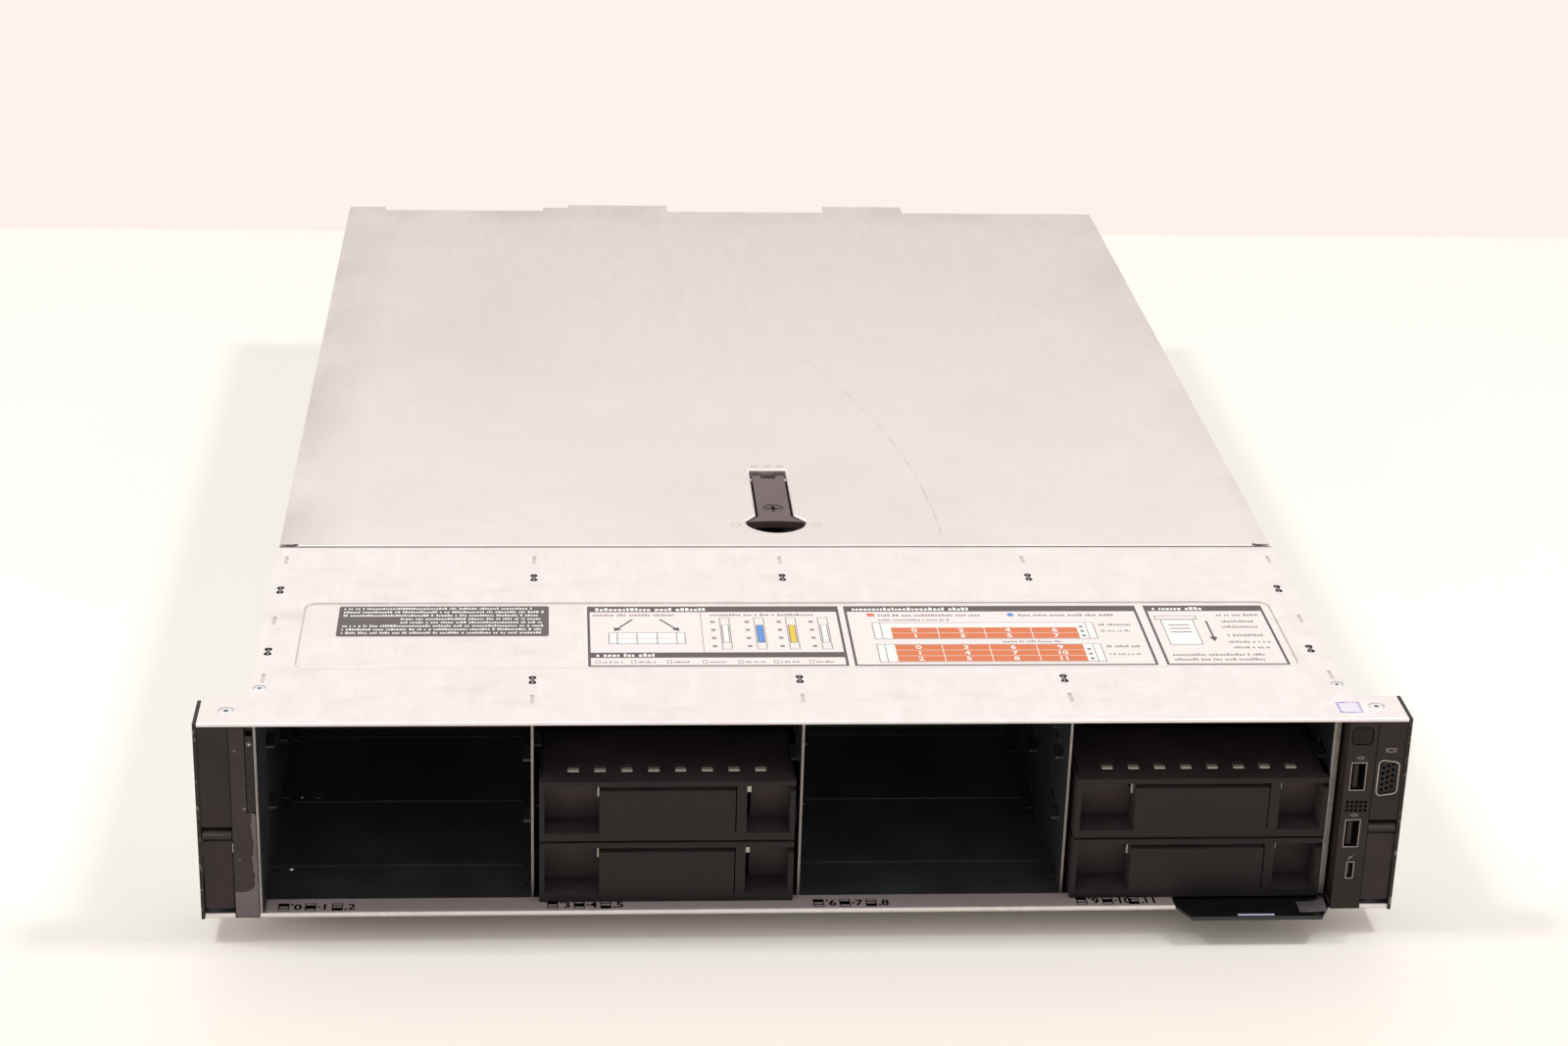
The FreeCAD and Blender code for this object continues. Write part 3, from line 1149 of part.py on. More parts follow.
def riser_cages():
    """Folded angle over each pair of slots, standing on the board or on the supply cage."""
    cages = []
    for x in riser_x:
        foot = supply_cage_z + SHEET if x < supply_cage_right else board_top
        left = x - slot_length / 2
        right = x + slot_length / 2
        side = left - SHEET - FIT if foot == board_top else right + FIT
        far = right if foot == board_top else left
        y = (riser_front_y, REAR_Y - SHEET)
        roof_z = (slot_z[1] + FIT, slot_z[1] + FIT + SHEET)
        web = block((side, side + SHEET), y, (foot, roof_z[1]))
        roof = block(sorted((side, far)), y, roof_z)
        cages.append(join([web, roof]))
    return cages


def port_spans():
    """Ends across and up of the mouth of every rear port, with its kind; the gaps between groups are even."""
    sizes = {"network": NETWORK, "usb": REAR_USB, "d": REAR_D}
    pitches = {"network": NETWORK[0] + NETWORK_GAP, "usb": REAR_USB[0] + REAR_USB_GAP, "d": REAR_D[0]}
    widths = [sizes[kind][0] + (count - 1) * pitches[kind] for kind, count in PORT_GROUPS]
    left = supply_cage_right + SHEET
    gap = (lower_in - left - sum(widths)) / (len(widths) + 1)
    ports = []
    for (kind, count), width in zip(PORT_GROUPS, widths):
        size = sizes[kind]
        first = left + gap + size[0] / 2
        ports += [(kind, span(first + i * pitches[kind], size[0]), (board_top, board_top + size[1]), size[2])
                  for i in range(count)]
        left += gap + width
    return ports


def rear_ports():
    """Shells of the network, USB and D sockets that stand on the board's rear edge."""
    shells = []
    rear = REAR_Y + PORT_PROUD
    for kind, x, z, depth in port_spans():
        middle = ((x[0] + x[1]) / 2, (z[0] + z[1]) / 2)
        body = block(x, (rear - depth, rear), z)
        if kind == "network":
            room = block(span(middle[0], NETWORK_MOUTH[0]), (rear - NETWORK_MOUTH[2], rear + 1),
                         span(middle[1], NETWORK_MOUTH[1]))
        else:
            room = block((x[0] + REAR_WALL, x[1] - REAR_WALL), (rear - depth / 2, rear + 1),
                         (z[0] + REAR_WALL, z[1] - REAR_WALL))
        shells.append(body.cut(room))
    return shells


def rear_panel():
    """Rear wall with windows for slots, ports and supplies, vents between the risers and side flanges."""
    y = (REAR_Y - SHEET, REAR_Y)
    pieces = [block((-lower_in, lower_in), y, (SHEET, joggle_z - SHEET)),
              block((-upper_in, upper_in), y, (SHEET, wall_top))]
    flange_z = (supply_cage_z + SHEET + FIT, wall_top)
    for side in (-1, 1):
        flange_x = sorted((side * (upper_in - SHEET), side * upper_in))
        pieces.append(block(flange_x, (y[0] - PANEL_FLANGE, y[0]), flange_z))
    depth = (y[0] - 1, y[1] + 1)
    supply_x = (supply_places[0] - SUPPLY_WIDTH / 2 - RUN, supply_cage_right)
    cuts = [block(supply_x, depth, (SHEET - 1, supply_cage_z))]
    for x, z in slot_spans():
        cuts.append(block((x[0] + SLOT_WINDOW_INSET[0], x[1] - SLOT_WINDOW_INSET[0]), depth,
                          (z[0] + SLOT_WINDOW_INSET[1], z[1] - SLOT_WINDOW_INSET[1])))
    for kind, x, z, reach in port_spans():
        cuts.append(block((x[0] - FIT, x[1] + FIT), depth, (z[0] - FIT, z[1] + FIT)))
    vent_left = riser_lefts[0] + slot_length + VENT_EDGE
    pitch_x = (riser_middle_left - VENT_EDGE - vent_left) / VENT_GRID[0]
    pitch_z = (slot_z[1] - slot_z[0]) / VENT_GRID[1]
    for i in range(VENT_GRID[0]):
        for j in range(VENT_GRID[1]):
            vent_x = vent_left + (i + 0.5) * pitch_x
            vent_z = slot_z[0] + (j + 0.5) * pitch_z
            cuts.append(block(span(vent_x, pitch_x - VENT_WEB), depth, span(vent_z, VENT_HEIGHT)))
    return join(pieces).cut(cuts)


def psu_cage():
    """Shelf and side of the bay that guides the two power supplies."""
    y = (supply_cage_front_y, REAR_Y - SHEET)
    left = -lower_in
    points = [(left, supply_cage_z), (supply_cage_right, supply_cage_z), (supply_cage_right, SHEET),
              (supply_cage_right + SHEET, SHEET), (supply_cage_right + SHEET, supply_cage_z + SHEET),
              (left, supply_cage_z + SHEET)]
    return prism("Y", points, y)


def supply_mid_z():
    """Mid height of the power supplies."""
    return (supply_z[0] + supply_z[1]) / 2


def release_room(x):
    """Pocket in a supply's rear corner, wide enough at its mouth for the swing of the release latch."""
    height = RELEASE_LEVER[1] + 2 * RUN
    swing = (supply_rear_y - release_pivot_y) * math.sin(math.radians(RELEASE_SWING))
    left = x + release_offset - RELEASE_LEVER[0] / 2 - swing - RUN
    room_x = (left, x + SUPPLY_WIDTH / 2 + 1)
    room_y = (release_pivot_y - RELEASE_BARREL - RUN, supply_rear_y + 1)
    return block(room_x, room_y, span(supply_mid_z(), height))


def psu_case(x):
    """Hollow supply case with an inlet opening, a fan grille and a pocket with a post for the release latch."""
    y = (supply_front_y, supply_rear_y)
    outer_x = span(x, SUPPLY_WIDTH)
    body = block(outer_x, y, supply_z)
    pocket = release_room(x)
    box = pocket.BoundBox
    lining = block((box.XMin - SUPPLY_WALL, outer_x[1]), (box.YMin - SUPPLY_WALL, y[1]),
                   (box.ZMin - SUPPLY_WALL, box.ZMax + SUPPLY_WALL))
    room = block((outer_x[0] + SUPPLY_WALL, outer_x[1] - SUPPLY_WALL), (y[0] + SUPPLY_WALL, y[1] - SUPPLY_WALL),
                 (supply_z[0] + SUPPLY_WALL, supply_z[1] - SUPPLY_WALL))
    inlet_x = span(x + inlet_offset, INLET[0] + 2 * FIT)
    inlet_z = span(supply_mid_z(), INLET[1] + 2 * FIT)
    cuts = [block(inlet_x, (y[1] - SUPPLY_WALL - 1, y[1] + 1), inlet_z),
            block(span(x, SUPPLY_WIDTH - 2 * SUPPLY_MOUTH_INSET), (y[0] - 1, y[0] + SUPPLY_WALL + 1),
                  span(supply_mid_z(), SUPPLY_HEIGHT / 2))]
    steps = int(GRILLE_RADIUS / GRILLE_STEP)
    for i in range(-steps, steps + 1):
        rise = i * GRILLE_STEP
        half = math.sqrt(GRILLE_RADIUS ** 2 - rise ** 2)
        cuts.append(block(span(x + grille_offset, 2 * half), (y[1] - SUPPLY_WALL - 1, y[1] + 1),
                          span(supply_mid_z() + rise, GRILLE_SLOT)))
    post = rod("Z", (x + release_offset, release_pivot_y), RELEASE_POST, (box.ZMin, box.ZMax))
    return join([body.cut(room), lining]).cut(cuts + [pocket]).fuse(post).removeSplitter()


def psu_inlet(x):
    """Moulded mains inlet with three blades, set in the supply's rear wall."""
    mid = (x + inlet_offset, supply_mid_z())
    rear = supply_rear_y + PORT_PROUD
    body = rounded(span(mid[0], INLET[0]), (rear - INLET[2], rear), span(mid[1], INLET[1]), "Y", CORNER_ROUND)
    mouth_y = (rear - INLET_MOUTH[2], rear + 1)
    mouth = rounded(span(mid[0], INLET_MOUTH[0]), mouth_y, span(mid[1], INLET_MOUTH[1]), "Y", INLET_MOUTH_ROUND)
    pin_y = (rear - INLET_MOUTH[2] - 1, rear - INLET_MOUTH[2] + INLET_PIN[2])
    pins = [block(span(mid[0] + i * INLET_PIN_SPREAD, INLET_PIN[0]), pin_y,
                  span(mid[1] + (1 - abs(i)) * INLET_PIN[1] / 2, INLET_PIN[1])) for i in (-1, 0, 1)]
    return join([body.cut(mouth)] + pins)


def psu_handle(x):
    """Loop handle on the rear wall of a supply."""
    length, reach, height = HANDLE
    outer_x = span(x + handle_offset, length)
    z = span(supply_mid_z(), height)
    inner_x = (outer_x[0] + HANDLE_BAR, outer_x[1] - HANDLE_BAR)
    loop = rounded(outer_x, (supply_rear_y - HANDLE_ROUND, supply_rear_y + reach), z, "Z", HANDLE_ROUND)
    hole = rounded(inner_x, (supply_rear_y - 2 * HANDLE_ROUND, supply_rear_y + reach - HANDLE_BAR),
                   (z[0] - 1, z[1] + 1), "Z", HANDLE_ROUND - HANDLE_BAR)
    return loop.cut([hole, block(span(x, 2 * SUPPLY_WIDTH), (supply_rear_y - SUPPLY_WIDTH, supply_rear_y),
                                 (z[0] - 1, z[1] + 1))])


def psu_latch(x):
    """Release lever with a thumb tab, turning on the post in the supply's pocket."""
    pivot = (x + release_offset, release_pivot_y)
    z = span(supply_mid_z(), RELEASE_LEVER[1])
    tab_end = supply_rear_y + RELEASE_TAB[0]
    arm = block(span(pivot[0], RELEASE_LEVER[0]), (pivot[1], tab_end), z)
    tab = rounded((pivot[0] - RELEASE_LEVER[0] / 2 - RELEASE_TAB[1] / 2, pivot[0] + RELEASE_LEVER[0] / 2),
                  (tab_end - RELEASE_TAB[1] / 2, tab_end), z, "Z", CORNER_ROUND)
    lever = join([rod("Z", pivot, RELEASE_BARREL, z), arm, tab])
    return lever.cut(rod("Z", pivot, RELEASE_POST + PIN_RUN, (z[0] - 1, z[1] + 1)))


os.makedirs("parts", exist_ok=True)
save("chassis_tray", [chassis_tray()])
save("rear_panel", [rear_panel()])
save("front_top_panel", [front_top_panel()])
save("bay_side_left", [bay_side_left()])
save("bay_side_right", [bay_side_right()])
for number, wall_x in enumerate(bay_walls[1:-1], 1):
    save("bay_divider_%d" % number, [bay_divider(wall_x)])
save("backplane", [backplane()])
save("drive_connectors", drive_connectors())
for number, (column, row) in enumerate(BLANK_BAYS, 1):
    save("drive_blank_%d" % number, [drive_blank(column_centre(column), row_bottom(row))])
    save("blank_spring_%d" % number, [blank_spring(column_centre(column), row_bottom(row))])
save("information_tag", [information_tag()])
save("tag_guides", tag_guides())
save("left_ear_cover", [mirrored(ear_cover(left_strip_inner, left_split).cut(status_bar_room()))])
save("right_ear_cover", [ear_cover(right_strip_inner, right_split).cut(right_controls())])
save("id_button", [id_button()])
save("power_button", [power_button()])
save("front_sockets", front_sockets())
save("socket_inserts", socket_inserts())
save("left_rack_latch", [mirrored(rack_latch(left_split))])
save("right_rack_latch", [rack_latch(right_split)])
save("rack_latch_pins", [mirrored(rack_latch_pin(left_split)), rack_latch_pin(right_split)])
save("rack_latch_springs", [mirrored(rack_latch_spring(left_split)), rack_latch_spring(right_split)])
save("rail_studs", rail_studs())
save("top_cover", [top_cover()])
save("latch_pan", [latch_pan()])
save("latch_lever", [latch_lever()])
save("latch_pin", [latch_pin()])
save("latch_lock", [latch_lock()])
save("fan_cage", [fan_cage()])
save("fan_frames", [fan_frame(i) for i in range(FAN_COUNT)])
rotor = fan_rotor()
for i in range(FAN_COUNT):
    save("fan_rotor_%d" % (i + 1), [shifted(rotor, fan_x(i), fan_front_y, fan_z())])
save("system_board", [system_board()])
save("memory_modules", memory_modules())
save("heat_sinks", [heat_sink(-sink_x), heat_sink(sink_x)])
save("air_shroud", [air_shroud()])
save("slot_covers", slot_covers())
save("riser_cages", riser_cages())
save("rear_ports", rear_ports())
save("psu_cage", [psu_cage()])
for number, supply_x in enumerate(supply_places, 1):
    save("psu_case_%d" % number, [psu_case(supply_x)])
    save("psu_inlet_%d" % number, [psu_inlet(supply_x)])
    save("psu_handle_%d" % number, [psu_handle(supply_x)])
    save("psu_latch_%d" % number, [psu_latch(supply_x)])
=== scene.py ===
import bmesh
import bpy
import math
import numpy as np
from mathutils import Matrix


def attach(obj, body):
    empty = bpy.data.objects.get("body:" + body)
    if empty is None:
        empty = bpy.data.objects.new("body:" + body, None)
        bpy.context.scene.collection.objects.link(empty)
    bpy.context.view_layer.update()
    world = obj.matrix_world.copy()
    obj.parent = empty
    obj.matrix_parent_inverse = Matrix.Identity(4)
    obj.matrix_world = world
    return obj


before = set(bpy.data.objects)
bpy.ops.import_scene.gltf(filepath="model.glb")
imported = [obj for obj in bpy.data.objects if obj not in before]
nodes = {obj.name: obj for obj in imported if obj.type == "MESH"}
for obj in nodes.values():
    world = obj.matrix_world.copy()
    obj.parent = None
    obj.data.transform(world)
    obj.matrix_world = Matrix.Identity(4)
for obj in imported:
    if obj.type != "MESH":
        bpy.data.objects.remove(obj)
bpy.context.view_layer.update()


# Chassis tray, rear panel and the cages behind it.
# Folded from galvanised steel sheet and joined by staking and spot welds.
# The floor inside the drive bays and in both ears is painted shade in a satin black, so the empty bays look
# dark.
METRE = 1000  # sizes are in millimetres, unless a name ends in _M for metres
GALVANISED = ("#e4dedb", "#d2ccc9")
ZINC_FLAKE_MM, FLAKE_SHARE, ROLLING_GRAIN_MM, ROLLING_STRETCH = 7.0, 0.35, 2.2, (1.0, 0.06, 1.0)
COAT_PEEL_MM, COAT_DUST_MM = 1.2, 26.0
METAL_RELIEF_MM, COAT_RELIEF_MM = 0.01, 0.02
# Boxes that get the satin black painted shade: the floor of the bays and of both ears.
BAY_FLOOR = {"x": (-220.4, 220.4), "y": (-9.45, 146.5), "z": (0.5, 90.0)}
EARS_X, EAR_FLOOR = ((-241.0, -226.0), (226.0, 241.0)), {"y": (-20.2, -1.2), "z": (0.3, 8.0)}


def linear(code):
    """Linear colour with alpha of an sRGB hex code."""
    rgb = np.array([int(code[i:i + 2], 16) for i in (1, 3, 5)]) / 255
    return (*np.where(rgb <= 0.04045, rgb / 12.92, ((rgb + 0.055) / 1.055) ** 2.4).tolist(), 1.0)


def node(tree, kind, inputs, out=0, **settings):
    """Add a shader node, apply its settings, set or link its inputs, and return one of its outputs."""
    made = tree.nodes.new("ShaderNode" + kind)
    for key, value in settings.items():
        setattr(made, key, value)
    for socket, value in inputs.items():
        if isinstance(value, bpy.types.NodeSocket):
            tree.links.new(value, made.inputs[socket])
        else:
            made.inputs[socket].default_value = linear(value) if isinstance(value, str) else value
    return made.outputs[out] if len(made.outputs) else None


def finish(name, build):
    """Material made by build, which gets a function that adds nodes and the place in the frame in metres."""
    made = bpy.data.materials.new(name)
    made.use_nodes = True
    made.node_tree.nodes.clear()

    def add(kind, inputs, out=0, **settings):
        """Add a node to this material."""
        return node(made.node_tree, kind, inputs, out, **settings)

    add("OutputMaterial", {"Surface": build(add, add("TexCoord", {}, "Object"))})
    return made


def paint(material, *names):
    """Give CAD nodes a material."""
    for name in names:
        nodes[name].data.materials.clear()
        nodes[name].data.materials.append(material)


def within(add, place, **limits):
    """1 inside a box given by its ends in millimetres along some of the axes, else 0."""
    axes = add("SeparateXYZ", {0: place}).node.outputs
    inside = 1.0
    for axis, (low, high) in limits.items():
        off = add("Math", {0: axes[axis.upper()], 1: (low + high) / 2 / METRE}, operation="SUBTRACT")
        near = add("Math", {0: off, 1: 0.0, 2: (high - low) / 2 / METRE}, operation="COMPARE")
        inside = add("Math", {0: near, 1: inside}, operation="MULTIPLY")
    return inside


def zinc(add, place, light, dark):
    """Inputs of galvanised sheet: pale metal, made a little lighter and darker by flakes and rolling grain.

    The grain is drawn coarse enough to show.
    """
    flake = add("TexVoronoi", {"Vector": place, "Scale": METRE / ZINC_FLAKE_MM}, "Color")
    drawn = add("Mapping", {"Vector": place, "Scale": ROLLING_STRETCH})
    grain = add("TexNoise", {"Vector": drawn, "Scale": METRE / ROLLING_GRAIN_MM, "Detail": 4.0}, "Fac")
    level = add("Math", {0: flake, 1: FLAKE_SHARE, 2: grain}, operation="MULTIPLY_ADD")
    share = add("MapRange", {"Value": level, "From Min": 0.3, "From Max": 1.1})
    return {"Base Color": add("Mix", {0: share, 6: dark, 7: light}, 2, data_type="RGBA"), "Metallic": 1.0,
            "Roughness": add("MapRange", {"Value": flake, "To Min": 0.40, "To Max": 0.48}),
            "Normal": add("Bump", {"Height": grain, "Distance": METAL_RELIEF_MM / METRE, "Strength": 0.2})}


def black_coat(add, place):
    """Satin black painted shade on sheet, with a fine orange-peel relief and a little dust."""
    cloud = add("TexNoise", {"Vector": place, "Scale": METRE / COAT_DUST_MM, "Detail": 6.0}, "Fac")
    dust = add("MapRange", {"Value": cloud, "From Min": 0.4, "From Max": 0.75})
    peel = add("TexNoise", {"Vector": place, "Scale": METRE / COAT_PEEL_MM}, "Fac")
    return add("BsdfPrincipled", {
        "Base Color": add("Mix", {0: dust, 6: "#37373a", 7: "#48484c"}, 2, data_type="RGBA"),
        "Roughness": add("MapRange", {"Value": dust, "To Min": 0.36, "To Max": 0.5}),
        "Normal": add("Bump", {"Height": peel, "Distance": COAT_RELIEF_MM / METRE, "Strength": 0.3})})


def part_coated(add, place, shade_mask, light, dark):
    """Galvanised sheet that turns to the satin black painted shade where a mask is 1."""
    bare = add("BsdfPrincipled", zinc(add, place, light, dark))
    return add("MixShader", {0: shade_mask, 1: bare, 2: black_coat(add, place)})


def tray(add, place):
    """Galvanised sheet with satin black painted shade on the floor of the bays and of both ears."""
    shade_mask = within(add, place, **BAY_FLOOR)
    for ear_x in EARS_X:
        shade_mask = add("Math", {0: shade_mask, 1: within(add, place, x=ear_x, **EAR_FLOOR)}, operation="MAXIMUM")
    return part_coated(add, place, shade_mask, *GALVANISED)


def bare_sheet(add, place):
    """Galvanised sheet alone, pale grey with a soft spangle."""
    return add("BsdfPrincipled", zinc(add, place, *GALVANISED))


paint(finish("galvanised_steel_tray", tray), "chassis_tray")
paint(finish("galvanised_steel", bare_sheet), "rear_panel", "psu_cage", "riser_cages", "slot_covers",
      "psu_case_1", "psu_case_2", "rail_studs", "fan_cage", "tag_guides")


# Rivets in the floor of the left bay.
# Pressed steel rivets with low domed heads that hold the floor to a rail below.
RIVETS, FLOOR_Z = ((-208.9, 80.5), (-202.2, 80.4), (-208.6, 17.8)), 1.0
RIVET_RADIUS, RIVET_RISE, RIVET_RINGS, RIVET_SIDES = 1.5, 0.9, 7, 20
DRAWN_LINE_MM, DRAWN_STRETCH = 1.0, (0.08, 1.0, 1.0)
MERGE_M = 1e-7


def piece(name, points, faces, material, body=None, slot=None, smooth=False):
    """Mesh from points in millimetres and faces, with points merged where they meet, carried by a body."""
    mesh = bpy.data.meshes.new(name)
    mesh.from_pydata((np.asarray(points, float) / METRE).tolist(), [], np.asarray(faces).tolist())
    shape = bmesh.new()
    shape.from_mesh(mesh)
    bmesh.ops.remove_doubles(shape, verts=shape.verts, dist=MERGE_M)
    shape.to_mesh(mesh)
    shape.free()
    mesh.polygons.foreach_set("use_smooth", np.full(len(mesh.polygons), smooth))
    mesh.materials.append(material)
    made = bpy.data.objects.new(name, mesh)
    bpy.context.scene.collection.objects.link(made)
    if body:
        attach(made, body)
    return made


def grid_faces(rows, columns, closed):
    """Quads between neighbouring points of a grid, whose last column joins the first where it is closed."""
    r, c = np.meshgrid(np.arange(rows - 1), np.arange(columns if closed else columns - 1), indexing="ij")
    after = (c + 1) % columns
    corners = [r * columns + c, r * columns + after, (r + 1) * columns + after, (r + 1) * columns + c]
    return np.stack(corners, -1).reshape(-1, 4)


def turned(radius, height, centres):
    """Rings about Z, from the rim in, at each centre.

    x = r cos a and y = r sin a, where r may change round the ring.
    """
    radius, height, centres = np.asarray(radius), np.asarray(height), np.asarray(centres)
    angle = np.arange(radius.shape[1]) * 2 * math.pi / radius.shape[1]
    level = np.repeat(height[:, None], len(angle), 1)
    ring = np.stack([radius * np.cos(angle), radius * np.sin(angle), level], -1).reshape(-1, 3)
    first = len(ring) * np.arange(len(centres))[:, None, None]
    faces = grid_faces(*radius.shape, True)[None] + first
    return (ring[None] + centres[:, None]).reshape(-1, 3), faces.reshape(-1, 4)


def bright_plate(light, dark, rough):
    """Bright plated metal with faint lines along X from its drawing, made coarse enough to show."""
    def build(add, place):
        drawn = add("Mapping", {"Vector": place, "Scale": DRAWN_STRETCH})
        lines = add("TexNoise", {"Vector": drawn, "Scale": METRE / DRAWN_LINE_MM, "Detail": 3.0}, "Fac")
        return add("BsdfPrincipled", {
            "Base Color": add("Mix", {0: lines, 6: dark, 7: light}, 2, data_type="RGBA"), "Metallic": 1.0,
            "Roughness": add("MapRange", {"Value": lines, "To Min": rough - 0.05, "To Max": rough + 0.08}),
            "Normal": add("Bump", {"Height": lines, "Distance": METAL_RELIEF_MM / METRE, "Strength": 0.2})})
    return build


# Each head is a quarter of an ellipse turned about its axis.
rise = np.linspace(math.pi / 2, 0, RIVET_RINGS)
dome = np.repeat(RIVET_RADIUS * np.sin(rise)[:, None], RIVET_SIDES, 1)
rivets = turned(dome, RIVET_RISE * np.cos(rise), [(x, y, FLOOR_Z) for x, y in RIVETS])
zinc_plate = finish("zinc_plated_steel", bright_plate("#f4f4f6", "#cfd0d4", 0.25))
piece("bay_rivets", *rivets, zinc_plate, "chassis", "stainless_steel", True)


# Bay walls, backplane and connectors.
# Steel walls, staked through the top panel, with satin black painted shade on their faces, bare cut front
# edges and bare stake ends.
# The backplane is a dark glass-fibre board, and its connectors are moulded.
STAKES_FROM_Z, WALLS_REAR_Y = 85.7, 400
DIVIDER_EDGE_Y, LEFT_EDGE_Y, RIGHT_EDGE_Y = -8.3, -20.4, -9.9
TRACK_MM, HANDLING_MM = 50 / 13, 22.0
PAD_LEVEL, TRACK_LEVEL, GAP_LEVEL = (1, 1, 1, 1), (0.6, 0.6, 0.6, 1), (0, 0, 0, 1)


def bay_wall(edge_y):
    """Satin black painted shade between the bare grey front edge and the bare stakes."""
    def build(add, place):
        shade_mask = within(add, place, y=(edge_y, WALLS_REAR_Y), z=(0, STAKES_FROM_Z))
        return part_coated(add, place, shade_mask, "#9a9692", "#7c7874")
    return build


def circuit(light, dark):
    """Solder mask over copper: tracks and pads, made coarse enough to show, change its tone."""
    def build(add, place):
        tracks = add("TexBrick", {"Vector": place, "Scale": METRE / TRACK_MM, "Color1": PAD_LEVEL,
                                  "Color2": TRACK_LEVEL, "Mortar": GAP_LEVEL}, "Color")
        return add("BsdfPrincipled", {
            "Base Color": add("Mix", {0: tracks, 6: dark, 7: light}, 2, data_type="RGBA"), "Roughness": 0.4})
    return build


def moulded(light, dark, rough, grain_mm=0.9, relief_mm=0.03, gloss=0.3):
    """Moulded plastic: spark-eroded grain, made coarse enough to show, and tone that handling has changed."""
    def build(add, place):
        grain = add("TexNoise", {"Vector": place, "Scale": METRE / grain_mm, "Detail": 2.0}, "Fac")
        tone = add("TexNoise", {"Vector": place, "Scale": METRE / HANDLING_MM, "Detail": 5.0}, "Fac")
        share = add("MapRange", {"Value": tone, "From Min": 0.35, "From Max": 0.65})
        return add("BsdfPrincipled", {
            "Base Color": add("Mix", {0: share, 6: dark, 7: light}, 2, data_type="RGBA"),
            "Specular IOR Level": gloss,
            "Roughness": add("MapRange", {"Value": share, "To Min": rough - 0.04, "To Max": rough + 0.05}),
            "Normal": add("Bump", {"Height": grain, "Distance": relief_mm / METRE, "Strength": 0.6})})
    return build


paint(finish("dark_shade_divider", bay_wall(DIVIDER_EDGE_Y)), "bay_divider_1", "bay_divider_2",
      "bay_divider_3")
paint(finish("dark_shade_left_wall", bay_wall(LEFT_EDGE_Y)), "bay_side_left")
paint(finish("dark_shade_right_wall", bay_wall(RIGHT_EDGE_Y)), "bay_side_right")
paint(finish("glass_fibre_backplane", circuit("#686c6a", "#585c5a")), "backplane")
black_nylon = finish("black_nylon", moulded("#262122", "#1c1819", 0.45))
paint(black_nylon, "drive_connectors")


# Drive blanks and their contact springs.
# One-piece mouldings in black ABS whose raised pads have a deeper grain than the frame around them.
# The springs are tinned bronze strip, dulled by a thin oxide; two leaves of each hang down beside the pad.
BLANKS = {"drive_blank_1": (-55.35, 30.6), "drive_blank_2": (-55.35, 3.0), "drive_blank_3": (160.45, 30.6),
          "drive_blank_4": (160.45, 3.0)}
PAD_X, PAD_Z, BLANK_FACE_Y = (-27.3, 31.8), (3.3, 24.3), (-16.0, -14.3)
LEAVES = ((-27.95, -27.3, 16.4), (31.85, 33.8, 18.0))
LEAF_TOP, LEAF_Y, LEAF_THICK, LEAF_ROUND = 23.9, -7.1, 0.3, 0.2
TIN_STAIN_MM, CORNER_POINTS = 3.0, 6


def blank_plastic(centre, low):
    """Black face with a deeper-grained pad, and painted light that makes the pockets behind it paler.

    The pad is placed from a column's centre and a bay's floor.
    """
    pad_x = (centre + PAD_X[0], centre + PAD_X[1])
    pad_z = (low + PAD_Z[0], low + PAD_Z[1])

    def build(add, place):
        pad = within(add, place, x=pad_x, y=BLANK_FACE_Y, z=pad_z)
        frame_grain = moulded("#1a1616", "#141111", 0.5)(add, place)
        pad_grain = moulded("#1d1717", "#171212", 0.48, grain_mm=0.7, relief_mm=0.05)(add, place)
        # Painted light: everything behind the face, the pockets above all, is drawn paler than the face.
        pocket_light = moulded("#4b4142", "#3f3637", 0.5)(add, place)
        face = add("MixShader", {0: pad, 1: frame_grain, 2: pad_grain})
        return add("MixShader", {0: within(add, place, y=BLANK_FACE_Y), 1: pocket_light, 2: face})
    return build


def dull_tin(add, place):
    """Tin with an oxide film: the film scatters part of the light and the metal mirrors the rest."""
    stain = add("TexNoise", {"Vector": place, "Scale": METRE / TIN_STAIN_MM, "Detail": 4.0}, "Fac")
    return add("BsdfPrincipled", {
        "Base Color": add("Mix", {0: stain, 6: "#c9c5b4", 7: "#f2eedd"}, 2, data_type="RGBA"),
        "Metallic": 0.45, "Roughness": add("MapRange", {"Value": stain, "To Min": 0.45, "To Max": 0.6})})


def rounded_plate(low, high, corner, thick):
    """Plate with rounded corners, each a quarter circle: from the middle out, up the edge and back in."""
    angle = np.arange(4)[:, None] * math.pi / 2 + np.linspace(0, math.pi / 2, CORNER_POINTS)
    u = np.where([[1], [0], [0], [1]], high[0] - corner, low[0] + corner) + corner * np.cos(angle)
    v = np.where([[1], [1], [0], [0]], high[1] - corner, low[1] + corner) + corner * np.sin(angle)
    path = np.stack([u, v], -1).reshape(-1, 2)
    middle = np.repeat(path.mean(0, keepdims=True), len(path), 0)
    flat = np.concatenate([middle, path, path, middle])
    height = np.repeat([0, 0, thick, thick], len(path))
    return np.insert(flat, 2, height, axis=1), grid_faces(4, len(path), True)


def upright(plate, y):
    """Plate turned to face forward, with its base at a place along Y."""
    points, faces = plate
    return np.stack([points[:, 0], y - points[:, 2], points[:, 1]], 1), faces


def together(*parts):
    """One set of points and faces from several."""
    first = np.cumsum([0] + [len(points) for points, _ in parts[:-1]])
    return (np.concatenate([points for points, _ in parts]),
            np.concatenate([faces + start for (_, faces), start in zip(parts, first)]))


